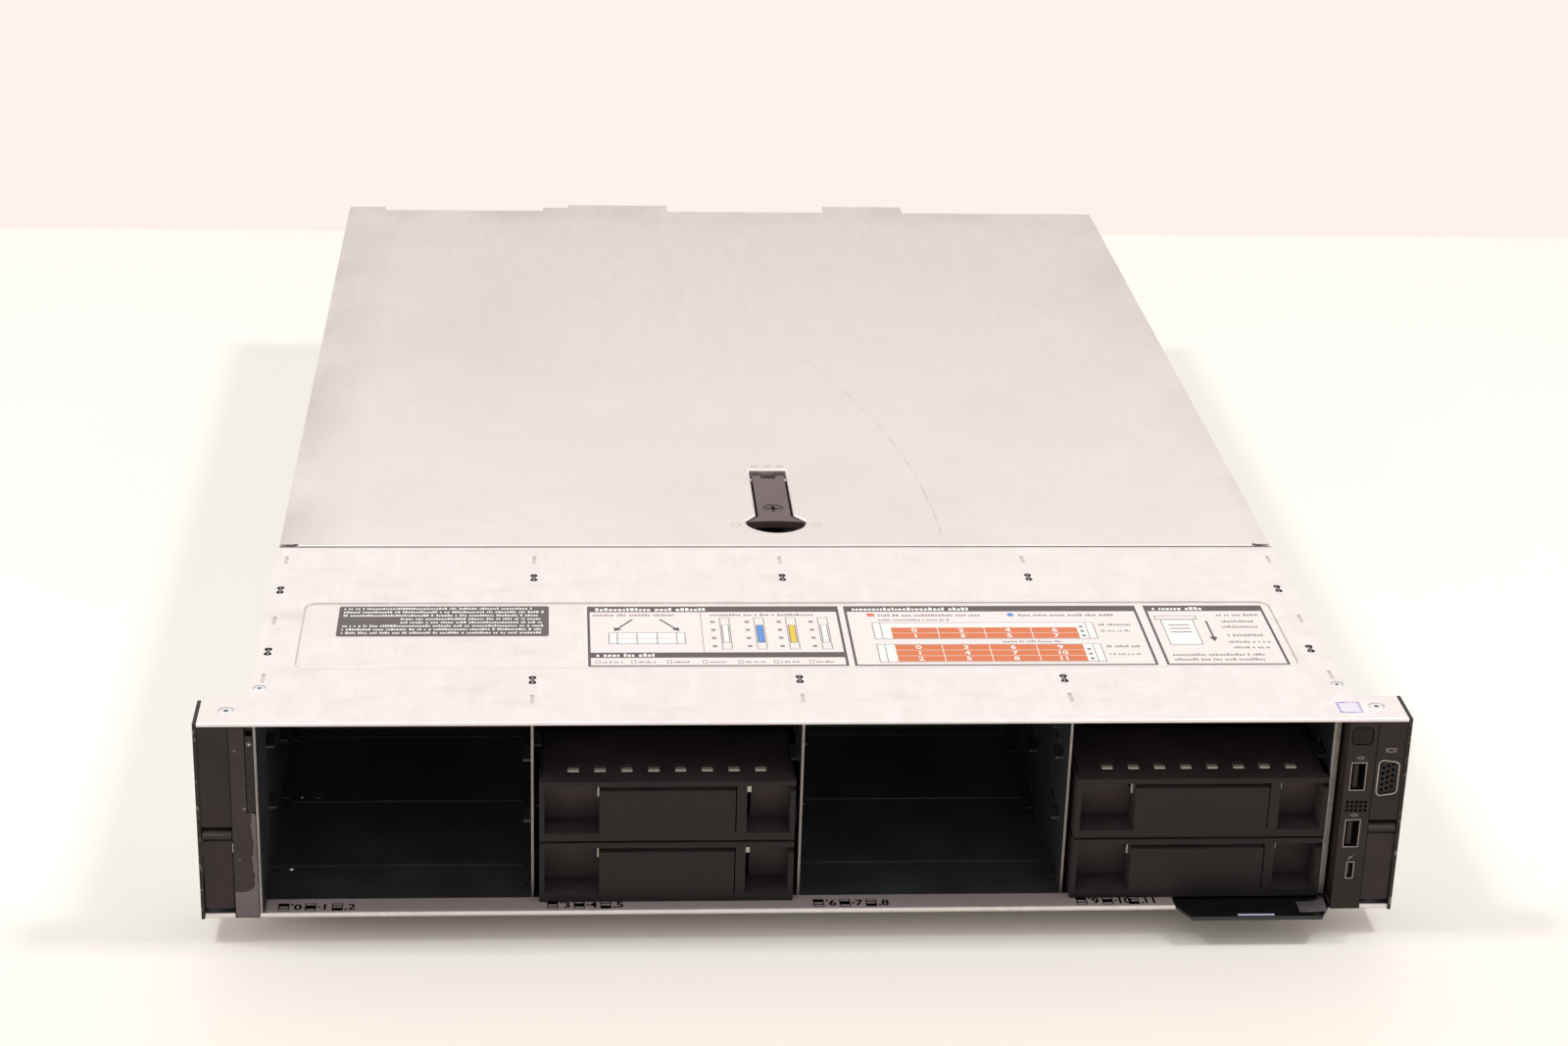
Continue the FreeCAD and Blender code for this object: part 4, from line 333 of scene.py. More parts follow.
tinned_bronze = finish("tinned_bronze", dull_tin)
for number, (name, (centre, low)) in enumerate(BLANKS.items(), 1):
    paint(finish("black_abs_" + name, blank_plastic(centre, low)), name)
    paint(tinned_bronze, "blank_spring_%d" % number)
    leaves = []
    for left, right, foot in LEAVES:
        corners = (centre + left, low + foot), (centre + right, low + LEAF_TOP)
        leaves.append(upright(rounded_plate(*corners, LEAF_ROUND, LEAF_THICK), LEAF_Y))
    piece("spring_leaves_%d" % number, *together(*leaves), tinned_bronze, "blank_%d" % number,
          "stainless_steel")


# Bay numbers on the hem below the bays.
# A grey vinyl strip along the folded front edge, printed with a stack of three bays for each drive.
HEM_TOP, STRIP, STRIP_ROUND, STRIP_THICK = 2.4, ((-215.8, -20.0), (151.4, -10.0)), 0.8, 0.05
INK, WORN_INK, HALFTONE_MM, VARNISH = 0.02, 0.86, 0.8, 0.3
INK_CODES = {"brown": "#544b4b", "white": "#fffdfb", "grey": "#9a9091", "orange": "#df7740",
             "blue": "#4f97e0", "yellow": "#f0cf3c"}
BAYS, BAY_ROWS, FIRST_BAY_X, BAY_STEP, COLUMN_STEP = 12, 3, -211.0, 10.7, 107.6
STACK_WIDTH, STACK_CELL, STACK_LOW_Y, STACK_LINE = 4.4, 2.0, -19.4, 0.4
POINTER_X, POINTER_TALL = (0.8, 1.7), 1.3
NUMBER_TALL, NUMBER_LOW_Y, NUMBER_GAPS = 4.4, -18.5, (3.5, 4.5)
DIGIT_SHARE, DIGIT_WEIGHT = 0.7, 0.035


def vinyl(code, gloss=0.4):
    """Printed vinyl: the ink's colour in a halftone, made coarse enough to show, under a satin varnish."""
    wear_and_highlight = tuple(WORN_INK * c for c in linear(code)[:3]) + (1.0,)

    def build(add, place):
        halftone = add("TexNoise", {"Vector": place, "Scale": METRE / HALFTONE_MM}, "Fac")
        return add("BsdfPrincipled", {
            "Base Color": add("Mix", {0: halftone, 6: wear_and_highlight, 7: code}, 2, data_type="RGBA"),
            "Roughness": 0.45, "Coat Weight": VARNISH * gloss, "Specular IOR Level": gloss})
    return build


def quad_halves(count):
    """Two triangles for each of some four-cornered shapes whose points follow one another."""
    return (np.array([[0, 1, 2], [0, 2, 3]]) + 4 * np.arange(count)[:, None, None]).reshape(-1, 3)


def bars(rows):
    """Flat rectangles, each a row of the u and v of two corners, as two triangles."""
    u0, v0, u1, v1 = np.asarray(rows, float).T
    return np.stack([u0, v0, u1, v0, u1, v1, u0, v1], 1).reshape(-1, 2), quad_halves(len(u0))


def edging(u0, v0, u1, v1, line):
    """Rows of the four bars along the inside of a rectangle's edge."""
    return [(u0, v0, u1, v0 + line), (u0, v1 - line, u1, v1), (u0, v0 + line, u0 + line, v1 - line),
            (u1 - line, v0 + line, u1, v1 - line)]


def numerals(rows):
    """Filled outlines of plain numbers, each a row of the number, its middle u, its base v and its height."""
    points, faces, first = [], [], 0
    for number, u, v, height in rows:
        curve = bpy.data.curves.new("number", "FONT")
        curve.body = str(number)
        curve.align_x = "CENTER"
        curve.size = height / DIGIT_SHARE
        curve.offset = DIGIT_WEIGHT * height
        source = bpy.data.objects.new("number", curve)
        flat = bpy.data.meshes.new_from_object(source)
        flat.calc_loop_triangles()
        outline = np.zeros(3 * len(flat.vertices))
        corners = np.zeros(3 * len(flat.loop_triangles), int)
        flat.vertices.foreach_get("co", outline)
        flat.loop_triangles.foreach_get("vertices", corners)
        points.append(outline.reshape(-1, 3)[:, :2] + (u, v))
        faces.append(corners.reshape(-1, 3) + first)
        first += len(flat.vertices)
        bpy.data.objects.remove(source)
        bpy.data.curves.remove(curve)
        bpy.data.meshes.remove(flat)
    return np.concatenate(points), np.concatenate(faces)


def printed(name, flat, level, ink, body="chassis", forward=False):
    """Print lying flat at a height or, if it looks forward, standing at a place along Y."""
    points, faces = flat
    piece(name, np.insert(points, 1 if forward else 2, level, axis=1), faces, ink, body)


INKS = {name: finish(name + "_ink", vinyl(code)) for name, code in INK_CODES.items()}
INKS["black"] = finish("black_ink", vinyl("#0c0a0a", 0.0))
points, faces = rounded_plate(*STRIP, STRIP_ROUND, STRIP_THICK)
grey_vinyl = finish("grey_vinyl", vinyl("#beb1b2"))
piece("bay_strip", points + (0, 0, HEM_TOP), faces, grey_vinyl, "chassis", "grey_plastic")
stacks, numbers = [], []
for bay in range(BAYS):
    column, down = divmod(bay, BAY_ROWS)
    filled = BAY_ROWS - 1 - down
    left = FIRST_BAY_X + column * COLUMN_STEP + down * BAY_STEP
    right = left + STACK_WIDTH
    for row in range(BAY_ROWS):
        low = STACK_LOW_Y + row * STACK_CELL
        cell = (left, low, right, low + STACK_CELL)
        stacks += [cell] if row == filled else edging(*cell, STACK_LINE)
    point = STACK_LOW_Y + filled * STACK_CELL + STACK_LINE
    stacks.append((right + POINTER_X[0], point, right + POINTER_X[1], point + POINTER_TALL))
    numbers.append((bay, right + NUMBER_GAPS[len(str(bay)) - 1], NUMBER_LOW_Y, NUMBER_TALL))
printed("bay_stacks", bars(stacks), HEM_TOP + STRIP_THICK + INK, INKS["black"])
printed("bay_numbers", numerals(numbers), HEM_TOP + STRIP_THICK + INK, INKS["black"])


# Information tag.
# A gloss black moulding that pulls out of the hem, with a pale stripe along its front edge.
# Its protective film has come loose and curls up at the right corner.
TAG_TOP, TAG_STRIPE = 2.4, (176.0, -29.3, 191.0, -28.0)
CURL_X, CURL_Y, CURL_START, CURL_BACK = (202.0, 214.0), (-27.0, -18.5), 0.25, 1.6
CURL_GAP, CURL_RISE, CURL_FRONT, CURL_GRID = 0.06, 3.6, 0.3, (24, 14)
SWIRL_MM, SWIRL_STRETCH, SCUFF_MM = 14.0, (1.0, 3.0, 1.0), 5.0


def black_gloss(add, place):
    """Polished black plastic with faint swirls from wiping."""
    wiped = add("Mapping", {"Vector": place, "Scale": SWIRL_STRETCH})
    swirl = add("TexNoise", {"Vector": wiped, "Scale": METRE / SWIRL_MM, "Detail": 6.0}, "Fac")
    rough = {"Value": swirl, "From Min": 0.3, "From Max": 0.7, "To Min": 0.16, "To Max": 0.28}
    return add("BsdfPrincipled", {
        "Base Color": add("Mix", {0: swirl, 6: "#070708", 7: "#0e0e10"}, 2, data_type="RGBA"),
        "Coat Weight": 0.3, "Roughness": add("MapRange", rough)})


def clear_film(add, place):
    """Thin clear plastic with scuffs that catch the light."""
    scuff = add("TexNoise", {"Vector": place, "Scale": METRE / SCUFF_MM, "Detail": 5.0}, "Fac")
    rough = {"Value": scuff, "From Min": 0.3, "From Max": 0.7, "To Min": 0.1, "To Max": 0.3}
    seen = add("BsdfPrincipled", {"Base Color": "#8d8788", "Roughness": add("MapRange", rough)})
    return add("MixShader", {0: add("MapRange", {"Value": scuff, "To Min": 0.3, "To Max": 0.75}),
                             1: add("BsdfTransparent", {}), 2: seen})


def curled_corner(u, v):
    """Film over the tag's corner.

    It is flat up to the curl's start and past it lifts by the square of the way gone, most at the rear.
    """
    bend = np.clip(u - CURL_START, 0, 1) ** 2
    x = CURL_X[0] + (CURL_X[1] - CURL_X[0]) * u - CURL_BACK * bend
    y = CURL_Y[0] + (CURL_Y[1] - CURL_Y[0]) * v
    lift = CURL_RISE * bend * (CURL_FRONT + (1 - CURL_FRONT) * v)
    return np.stack([x, y, TAG_TOP + CURL_GAP + lift], -1)


paint(finish("black_gloss_plastic", black_gloss), "information_tag")
printed("tag_stripe", bars([TAG_STRIPE]), TAG_TOP + INK, finish("pale_stripe_ink", vinyl("#d3d6fa")), "tag")
u, v = np.meshgrid(*[np.linspace(0, 1, count) for count in CURL_GRID], indexing="ij")
piece("tag_film", curled_corner(u, v).reshape(-1, 3), grid_faces(*CURL_GRID, False)[:, ::-1],
      finish("clear_film", clear_film), "tag", "black_gloss", True)


# Ear covers and rack latches: grained black ABS clipped over the rack flanges, chipped along the outer rims.
# Each latch turns on a blackened pin against a coil spring, and a web behind its lip stiffens its hook.
# A dark film that has begun to peel covers the left ear's paler strip, with specks of dust on it.
EAR_FACE_Y, EAR_FILM = -20.5, 0.08
EAR_STRIP, EAR_STRIP_ROUND, EAR_STRIP_THICK = ((-227.2, 0.5), (-218.1, 47.2)), 1.2, 0.03
FILM_LEFT, FILM_TORN, FILM_AT_BAR, STATUS_BAR_LOW = -227.2, -219.6, -221.3, 47.2
FILM_Z, FILM_CORNER, FILM_GRID = (12.0, 84.6), 3.2, (120, 6)
TEAR_WAVES = ((0.35, 0.42, 0.0), (0.2, 1.3, 1.0))
SPECKS = ((-225.1, 74.8, 0.55), (-222.3, 49.3, 0.6), (-224.9, 26.7, 0.45), (-222.6, 57.0, 0.3),
          (-225.8, 18.5, 0.3))
LAMP_MARK, LAMP_LINE, LAMP_RING, LAMP_DOT = (-219.5, 77.6), 0.28, 0.8, 0.32
LAMP_WINDOW, RING_POINTS = (-220.9, 81.2, -218.1, 84.0), 17
LATCH_WEBS_X, WEB_Z = {"latch_left": (-239.1, -228.0), "latch_right": (228.4, 239.1)}, (34.9, 41.0)
WEB_Y, WEB_THICK, WEB_ROUND = -14.2, 1.7, 0.5
LEFT_RIM_X, RIGHT_RIM_X, RIM_Y, CHIP_MM = (-241.1, -239.9), (239.9, 241.1), (-21.1, -20.4), 2.6
LIP_HIGHLIGHT_Z, LIP_SHADE_Z = (37.2, 38.95), (34.6, 35.8)
EAR_GRAIN = {"rough": 0.48, "grain_mm": 0.8, "relief_mm": 0.05}


def peeled_film(height, share):
    """Film between a straight left edge and a torn right edge.

    The torn edge is two sine waves, with a step at the status bar and a round corner below.
    """
    torn = FILM_TORN + sum(deep * np.sin(rate * height + start) for deep, rate, start in TEAR_WAVES)
    torn = np.where(height > STATUS_BAR_LOW, FILM_AT_BAR, torn)
    below = np.clip(FILM_CORNER - (height - FILM_Z[0]), 0, FILM_CORNER)
    torn = torn - (FILM_CORNER - np.sqrt(FILM_CORNER ** 2 - below ** 2))
    x = FILM_LEFT + (torn - FILM_LEFT) * share
    return np.stack([x, np.full_like(x, EAR_FACE_Y - EAR_FILM), height], -1)


def dots(rows, sides=14):
    """Round flat dots, each a row of the middle's u and v and a radius, as fans of triangles."""
    u, v, radius = np.asarray(rows, float).T[:, :, None]
    angle = np.arange(sides) * 2 * math.pi / sides
    rim = np.stack([u + radius * np.cos(angle), v + radius * np.sin(angle)], -1).reshape(-1, 2)
    fan = np.stack([np.zeros(sides - 2, int), np.arange(1, sides - 1), np.arange(2, sides)], 1)
    return rim, (fan[None] + sides * np.arange(len(u))[:, None, None]).reshape(-1, 3)


def strokes(line, *paths):
    """Bands along the straight steps of some paths, each step moved half the line's width to both sides."""
    steps = np.concatenate([np.stack([path[:-1], path[1:]], 1) for path in map(np.asarray, paths)])
    ahead = (steps[:, 1] - steps[:, 0]).astype(float)
    ahead = ahead / np.linalg.norm(ahead, axis=1, keepdims=True) * line / 2
    side = np.stack([-ahead[:, 1], ahead[:, 0]], 1)
    start, end = steps[:, 0] - ahead, steps[:, 1] + ahead
    points = np.stack([start - side, end - side, end + side, start + side], 1).reshape(-1, 2)
    return points, quad_halves(len(steps))


def ear_plastic(light, dark, gloss, rim_x):
    """Grained black ABS with pale chips along the front of the ear's outer rim."""
    def build(add, place):
        flecks = add("TexNoise", {"Vector": place, "Scale": METRE / CHIP_MM, "Detail": 5.0}, "Fac")
        chips = add("MapRange", {"Value": flecks, "From Min": 0.58, "From Max": 0.66, "To Max": 0.7})
        wear_and_highlight = add("Math", {0: chips, 1: within(add, place, x=rim_x, y=RIM_Y)}, operation="MULTIPLY")
        return add("MixShader", {0: wear_and_highlight, 1: moulded(light, dark, gloss=gloss, **EAR_GRAIN)(add, place),
                                 2: add("BsdfPrincipled", {"Base Color": "#8b827c", "Roughness": 0.6})})
    return build


def latch_plastic(add, place):
    """Grained black ABS with a painted highlight along the top of the lip and painted shade in the line under
    it.
    """
    plain = moulded("#33292a", "#2a2222", gloss=0.26, **EAR_GRAIN)(add, place)
    # Painted highlight on the lip's top, and painted shade in the line below it.
    rubbing_and_highlight = moulded("#554c49", "#3a3331", 0.4, grain_mm=1.1, relief_mm=0.1)(add, place)
    lip_line_shade = add("BsdfPrincipled", {"Base Color": "#120f0e", "Roughness": 0.7, "Specular IOR Level": 0.1})
    wear_and_highlight = add("MixShader", {0: within(add, place, z=LIP_HIGHLIGHT_Z), 1: plain, 2: rubbing_and_highlight})
    return add("MixShader", {0: within(add, place, z=LIP_SHADE_Z), 1: wear_and_highlight, 2: lip_line_shade})


paint(finish("black_abs_left_ear", ear_plastic("#2c2320", "#241d1b", 0.28, LEFT_RIM_X)), "left_ear_cover")
paint(finish("black_abs_right_ear", ear_plastic("#2b221f", "#231c1a", 0.26, RIGHT_RIM_X)), "right_ear_cover")
latch_abs = finish("black_abs_latch", latch_plastic)
paint(latch_abs, "left_rack_latch", "right_rack_latch")
for name, (low, high) in LATCH_WEBS_X.items():
    web = rounded_plate((low, WEB_Z[0]), (high, WEB_Z[1]), WEB_ROUND, WEB_THICK)
    piece(name + "_web", *upright(web, WEB_Y), latch_abs, name, "black_plastic")
paint(finish("blackened_steel", bright_plate("#3a3635", "#242120", 0.4)), "rack_latch_pins",
      "rack_latch_springs")
paint(finish("smoked_acrylic", moulded("#251e1c", "#1f1917", 0.2, relief_mm=0.004)), "id_button")
strip = upright(rounded_plate(*EAR_STRIP, EAR_STRIP_ROUND, EAR_STRIP_THICK), EAR_FACE_Y)
strip_print = finish("grey_ear_print", moulded("#71676a", "#645a5d", 0.4, relief_mm=0.01))
piece("ear_strip", *strip, strip_print, "chassis", "grey_plastic")
film_rows, film_columns = FILM_GRID
height, share = np.meshgrid(np.linspace(*FILM_Z, film_rows), np.linspace(0, 1, film_columns), indexing="ij")
dark_film = finish("dark_film", moulded("#362d2a", "#2e2624", 0.3, relief_mm=0.006))
film = peeled_film(height, share).reshape(-1, 3)
piece("ear_film", film, grid_faces(*FILM_GRID, False), dark_film, "chassis", "black_plastic")
dust = finish("dust", vinyl("#6f6563"))
printed("film_specks", dots(SPECKS), EAR_FACE_Y - EAR_FILM - INK, dust, forward=True)
around = np.linspace(0, 2 * math.pi, RING_POINTS)
ring = np.stack([np.cos(around), np.sin(around)], 1)
lamp_mark = together(strokes(LAMP_LINE, LAMP_RING * ring + LAMP_MARK), dots([(*LAMP_MARK, LAMP_DOT)]))
printed("lamp_mark", lamp_mark, EAR_FACE_Y - INK, INKS["white"], "id_key", forward=True)
printed("lamp_window", bars([LAMP_WINDOW]), EAR_FACE_Y - INK, INKS["black"], "id_key", forward=True)


# Controls on the right ear.
# A sprung power key and four sockets with plated shells and moulded inserts, set in the ear cover.
# Pale marks above the sockets are plain shapes: a plug, a screen and a spanner.
PLUG_MARKS, SCREEN_MARK, SPANNER_MARK = ((221.5, 69.2), (221.5, 43.4)), (233.7, 72.6), (222.4, 24.4)
PLUG = (((-0.4, -0.7), (0.6, -0.7), (0.6, 0.7), (-0.4, 0.7), (-0.4, -0.7)), ((-1.5, 0), (-0.4, 0)),
        ((0.6, -0.35), (1.5, -0.35)), ((0.6, 0.35), (1.5, 0.35)))
SCREEN = (((-1.1, -0.8), (1.1, -0.8), (1.1, 0.8), (-1.1, 0.8), (-1.1, -0.8)), ((-1.9, -0.9), (-1.9, 0.9)),
          ((1.9, -0.9), (1.9, 0.9)))
SPANNER_STEM, STEM_LINE = ((-1.0, -1.0), (0.4, 0.4)), 0.5
JAW_MIDDLE, JAW_RADIUS, JAW_OPEN = (0.8, 0.8), 0.6, slice(1, 13)
MARK_LINE, INSERT_FACE_Y = 0.34, -19.4
PIN_COLUMNS, PIN_ROWS = (-1, 0, 1), (-2, -1, 0, 1, 2)
DISPLAY_CENTRE, PIN_STEP, PIN_STAGGER, PIN_HOLE = (233.7, 60.0), (2.0, 2.5), 0.8, 0.65

paint(finish("black_abs_key", moulded("#1c1716", "#161211", 0.36, gloss=0.2)), "power_button")
paint(finish("nickel_plate", bright_plate("#aaa29b", "#7d7671", 0.36)), "front_sockets", "rear_ports")
paint(finish("black_insert", moulded("#1c1918", "#161312", 0.5)), "socket_inserts")
plug, screen = strokes(MARK_LINE, *PLUG), strokes(MARK_LINE, *SCREEN)
jaw = strokes(MARK_LINE, JAW_RADIUS * ring[JAW_OPEN] + JAW_MIDDLE)
spanner = together(strokes(STEM_LINE, SPANNER_STEM), jaw)
marks = [(plug[0] + spot, plug[1]) for spot in PLUG_MARKS]
marks += [(screen[0] + SCREEN_MARK, screen[1]), (spanner[0] + SPANNER_MARK, spanner[1])]
printed("ear_marks", together(*marks), EAR_FACE_Y - INK, INKS["grey"], forward=True)
column, row = np.meshgrid(PIN_COLUMNS, PIN_ROWS, indexing="ij")
pins = np.stack([DISPLAY_CENTRE[0] + column * PIN_STEP[0],
                 DISPLAY_CENTRE[1] + row * PIN_STEP[1] + column * PIN_STAGGER,
                 np.full(column.shape, PIN_HOLE)], -1).reshape(-1, 3)
# The pin holes are painted shade: flat black dots on the insert's face.
painted_hole_shade = finish("painted_pin_shade", vinyl("#030303", 0.0))
printed("display_pins_painted_shade", dots(pins), INSERT_FACE_Y - INK, painted_hole_shade, forward=True)


# Front top panel over the bays.
# Galvanised sheet, paler than the cover, with satin black painted shade below, pressed grooves and a label
# recess.
# Painted shade lines the recess's edge, the grooves, the stake holes and the rear seam; a small paper seal
# sticks to the right front corner.
SEAL_X, SEAL_Y, SEAL_Z = (212.9, 222.5), (-15.3, -5.4), (86.6, 87.0)
SEAL_BORDER, SEAL_WEAR_MM = 0.9, 1.6
RECESS_MIDDLE, RECESS_HALF, RECESS_ROUND, RECESS_LINE = (0.6, 60.8), (205.9, 32.2), 5.0, 0.35
GROOVE_FLOOR_Z, PANEL_REAR_Y = (85.9, 86.38), (152.2, 154.0)
PANEL_UNDERSIDE = {"x": (-220.2, 220.2), "y": (-20.6, 200.0), "z": (0.0, 85.75)}
HOLES = (((-200.0, 200.0), (17.4, 119.7)), ((209.0, 220.0), (45.0, 106.5)),
         ((-220.0, -209.0), (45.0, 106.5)))
HOLE_REACH, HOLE_Z = 3.7, (85.5, 86.73)
RUB_MM, RUB_STRETCH, FROM_ABOVE = 34.0, (1.0, 2.2, 1.0), (1, 1, 0)


def rounded_edge(add, place, middle, half, corner, line):
    """1 on a line along a rounded rectangle seen from above.

    There the distance past the middles of its rounded corners equals their radius.
    """
    shift = (-middle[0] / METRE, -middle[1] / METRE, 0)
    centred = add("Mapping", {"Vector": place, "Location": shift, "Scale": FROM_ABOVE})
    folded = add("VectorMath", {0: centred}, operation="ABSOLUTE")
    inner = ((half[0] - corner) / METRE, (half[1] - corner) / METRE, 0)
    off = add("VectorMath", {0: folded, 1: inner}, operation="SUBTRACT")
    past = add("VectorMath", {0: off, 1: (0, 0, 0)}, operation="MAXIMUM")
    reach = add("VectorMath", {0: past}, "Value", operation="LENGTH")
    return add("Math", {0: reach, 1: corner / METRE, 2: line / METRE}, operation="COMPARE")


def panel(add, place):
    """Pale, handled zinc with the seal, and painted shade at the recess edge, rear seam, grooves, stake holes
    and underside.
    """
    sheet = zinc(add, place, "#f8f2f1", "#f1eae9")
    rubbing_and_highlight = add("Mapping", {"Vector": place, "Scale": RUB_STRETCH})
    rub = add("TexNoise", {"Vector": rubbing_and_highlight, "Scale": METRE / RUB_MM, "Detail": 8.0}, "Fac")
    rub = add("MapRange", {"Value": rub, "From Min": 0.58, "From Max": 0.8, "To Max": 0.3})
    colour = add("Mix", {0: rub, 6: sheet["Base Color"], 7: "#cfc6c2"}, 2, data_type="RGBA")
    edge = rounded_edge(add, place, RECESS_MIDDLE, RECESS_HALF, RECESS_ROUND, RECESS_LINE)
    seam = within(add, place, y=PANEL_REAR_Y)
    groove = within(add, place, z=GROOVE_FLOOR_Z)
    holes = 0.0
    for x, centres in HOLES:
        for y in centres:
            hole = within(add, place, x=x, y=(y - HOLE_REACH, y + HOLE_REACH), z=HOLE_Z)
            holes = add("Math", {0: hole, 1: holes}, operation="MAXIMUM")
    # Painted shade: a darker line round the recess, the seam gap at the rear, the groove floors and the stake
    # holes.
    for mask, share, dirt_and_shade in ((edge, 0.4, "#a39993"), (seam, 0.9, "#776e68"), (groove, 0.35, "#a69c96"),
                              (holes, 0.96, "#0d0c0c")):
        thin = add("Math", {0: mask, 1: share}, operation="MULTIPLY")
        colour = add("Mix", {0: thin, 6: colour, 7: dirt_and_shade}, 2, data_type="RGBA")
    wear_and_highlight = add("TexNoise", {"Vector": place, "Scale": METRE / SEAL_WEAR_MM, "Detail": 4.0}, "Fac")
    wear_and_highlight = add("MapRange", {"Value": wear_and_highlight, "From Min": 0.4, "From Max": 0.6, "To Min": 0.35})
    seal = within(add, place, x=SEAL_X, y=SEAL_Y, z=SEAL_Z)
    border = add("Math", {0: seal, 1: wear_and_highlight}, operation="MULTIPLY")
    colour = add("Mix", {0: border, 6: colour, 7: "#8089cf"}, 2, data_type="RGBA")
    paper = within(add, place, x=(SEAL_X[0] + SEAL_BORDER, SEAL_X[1] - SEAL_BORDER),
                   y=(SEAL_Y[0] + SEAL_BORDER, SEAL_Y[1] - SEAL_BORDER), z=SEAL_Z)
    sheet["Base Color"] = add("Mix", {0: paper, 6: colour, 7: "#efebf6"}, 2, data_type="RGBA")
    return add("MixShader", {0: within(add, place, **PANEL_UNDERSIDE), 1: add("BsdfPrincipled", sheet),
                             2: black_coat(add, place)})


paint(finish("galvanised_steel_panel", panel), "front_top_panel")


# Screws of the front top panel.
# Zinc-plated steel with star recesses, flush in pressed seats, two over the ears and two over the body.
SCREWS = {"ear_screws": (((-229.0, -9.2), (229.0, -9.2)), 2.9),
          "panel_screws": (((-217.7, 11.0), (217.7, 11.0)), 2.3)}
SCREW_SIDES, SEAT_Z, HEAD_TOP_Z, RIM_BEVEL, RIM_TOP = 48, 86.3, 86.76, 0.14, 0.9
STAR, STAR_WAVE, STAR_POINTS, STAR_TAPER = 0.34, 0.08, 6, 0.92
STAR_FLOOR_Z, RECESS_SHADE_Z = 86.34, (86.31, 86.54)


def screw_zinc(add, place):
    """Bluish zinc plate, with painted shade down in the star recess."""
    plate = bright_plate("#fbfcff", "#e2e4ea", 0.3)(add, place)
    # Painted shade down in the star recess.
    recess_shade = add("BsdfPrincipled", {"Base Color": "#39373a", "Roughness": 0.4})
    return add("MixShader", {0: within(add, place, z=RECESS_SHADE_Z), 1: plate, 2: recess_shade})


# The recess is a circle whose radius rises and falls as a cosine, once for each point of the star.
turn = np.arange(SCREW_SIDES) * 2 * math.pi / SCREW_SIDES
star = STAR + STAR_WAVE * np.cos(STAR_POINTS * turn)
whole = np.ones(SCREW_SIDES)
rims = np.stack([whole, whole, RIM_TOP * whole, star, STAR_TAPER * star, 0 * whole])
levels = np.array([SEAT_Z, HEAD_TOP_Z - RIM_BEVEL, HEAD_TOP_Z, HEAD_TOP_Z, STAR_FLOOR_Z, STAR_FLOOR_Z])
blue_zinc = finish("blue_zinc_plate", screw_zinc)
for name, (places, radius) in SCREWS.items():
    heads = turned(radius * rims, levels, [(x, y, 0) for x, y in places])
    piece(name, *heads, blue_zinc, "chassis", "stainless_steel")


# Labels in the panel's recess.
# Printed vinyl films pressed into the recess, a dark one at the left and a white one with three ruled boxes.
# They carry rows of short bars, plain sketches of the chassis, and a chart of numbered bays.
RECESS_Z, FILM, FILM_ROUND = 86.4, 0.1, 1.0
FILM_TOP = RECESS_Z + FILM
DARK_FILM, WHITE_FILM = ((-190.8, 60.3), (-102.8, 90.0)), ((-88.2, 29.4), (204.4, 90.4))
DARK_ROWS, DARK_TOP, DARK_STEP, DARK_TALL = 8, 3.4, 3.45, 1.9
DARK_MARGIN, DARK_INDENT, INDENTED = 2, 26, (3, 4)
STATUS_BOX, CHART_BOX, TAG_BOX, BOX_Y = (-86.7, 20.0), (22.4, 148.0), (151.6, 203.0), (30.3, 89.4)
RULE, FINE_RULE, HEADER, TITLE, LINE, SMALL = 1.1, 0.4, 5.7, 3.0, 2.2, 1.7
TITLE_START, TITLE_END, TITLE_SHARE, TITLE_LOW = 3.5, 4, 0.45, 1.0
BAR_STEP, BAR_WIDTHS, BAR_GAP, LOW_BAR, TALL_CHANCE = 0.66, (0.3, 0.55), 0.16, 0.72, 0.3
WIDE_GAP, WIDE_GAP_CHANCE = 0.45, 0.17
INK_LAYERS = {"brown": 1, "grey": 1, "white": 2, "orange": 3, "blue": 3, "yellow": 3}
SKETCH_LAYER, NUMBER_LAYER = 3, 4
draw = np.random.default_rng(20)


def short_bars(u0, u1, v, tall):
    """Row of short bars between two ends: uneven widths and heights, with a wider gap after some."""
    count = max(2, int((u1 - u0) / (BAR_STEP * tall)))
    wide = draw.uniform(*BAR_WIDTHS, count) * tall
    gap = BAR_GAP * tall + (draw.random(count) < WIDE_GAP_CHANCE) * WIDE_GAP * tall
    left = u0 + np.cumsum(wide + gap) - (wide + gap)
    top = v + np.where(draw.random(count) < TALL_CHANCE, 1.0, LOW_BAR) * tall
    rows = np.stack([left, np.full(count, v), left + wide, top], 1)
    return rows[rows[:, 2] < u1].tolist()


for name, film, code in (("dark_label", DARK_FILM, "#5a5150"), ("white_label", WHITE_FILM, "#f8eeeb")):
    points, faces = rounded_plate(*film, FILM_ROUND, FILM)
    piece(name, points + (0, 0, RECESS_Z), faces, finish(name + "_vinyl", vinyl(code)), "chassis")
prints = {name: [] for name in INK_LAYERS}
for row in range(DARK_ROWS):
    start = DARK_FILM[0][0] + (DARK_INDENT if row in INDENTED else DARK_MARGIN)
    low = DARK_FILM[1][1] - DARK_TOP - DARK_STEP * row
    prints["white"] += short_bars(start, DARK_FILM[1][0] - DARK_MARGIN, low, DARK_TALL)
for left, right in (STATUS_BOX, CHART_BOX, TAG_BOX):
    prints["brown"] += edging(left, BOX_Y[0], right, BOX_Y[1], RULE)
    prints["brown"].append((left + RULE, BOX_Y[1] - HEADER, right - RULE, BOX_Y[1] - RULE))
    end = left + TITLE_END + TITLE_SHARE * (right - left)
    prints["white"] += short_bars(left + TITLE_START, end, BOX_Y[1] - HEADER + TITLE_LOW, TITLE)

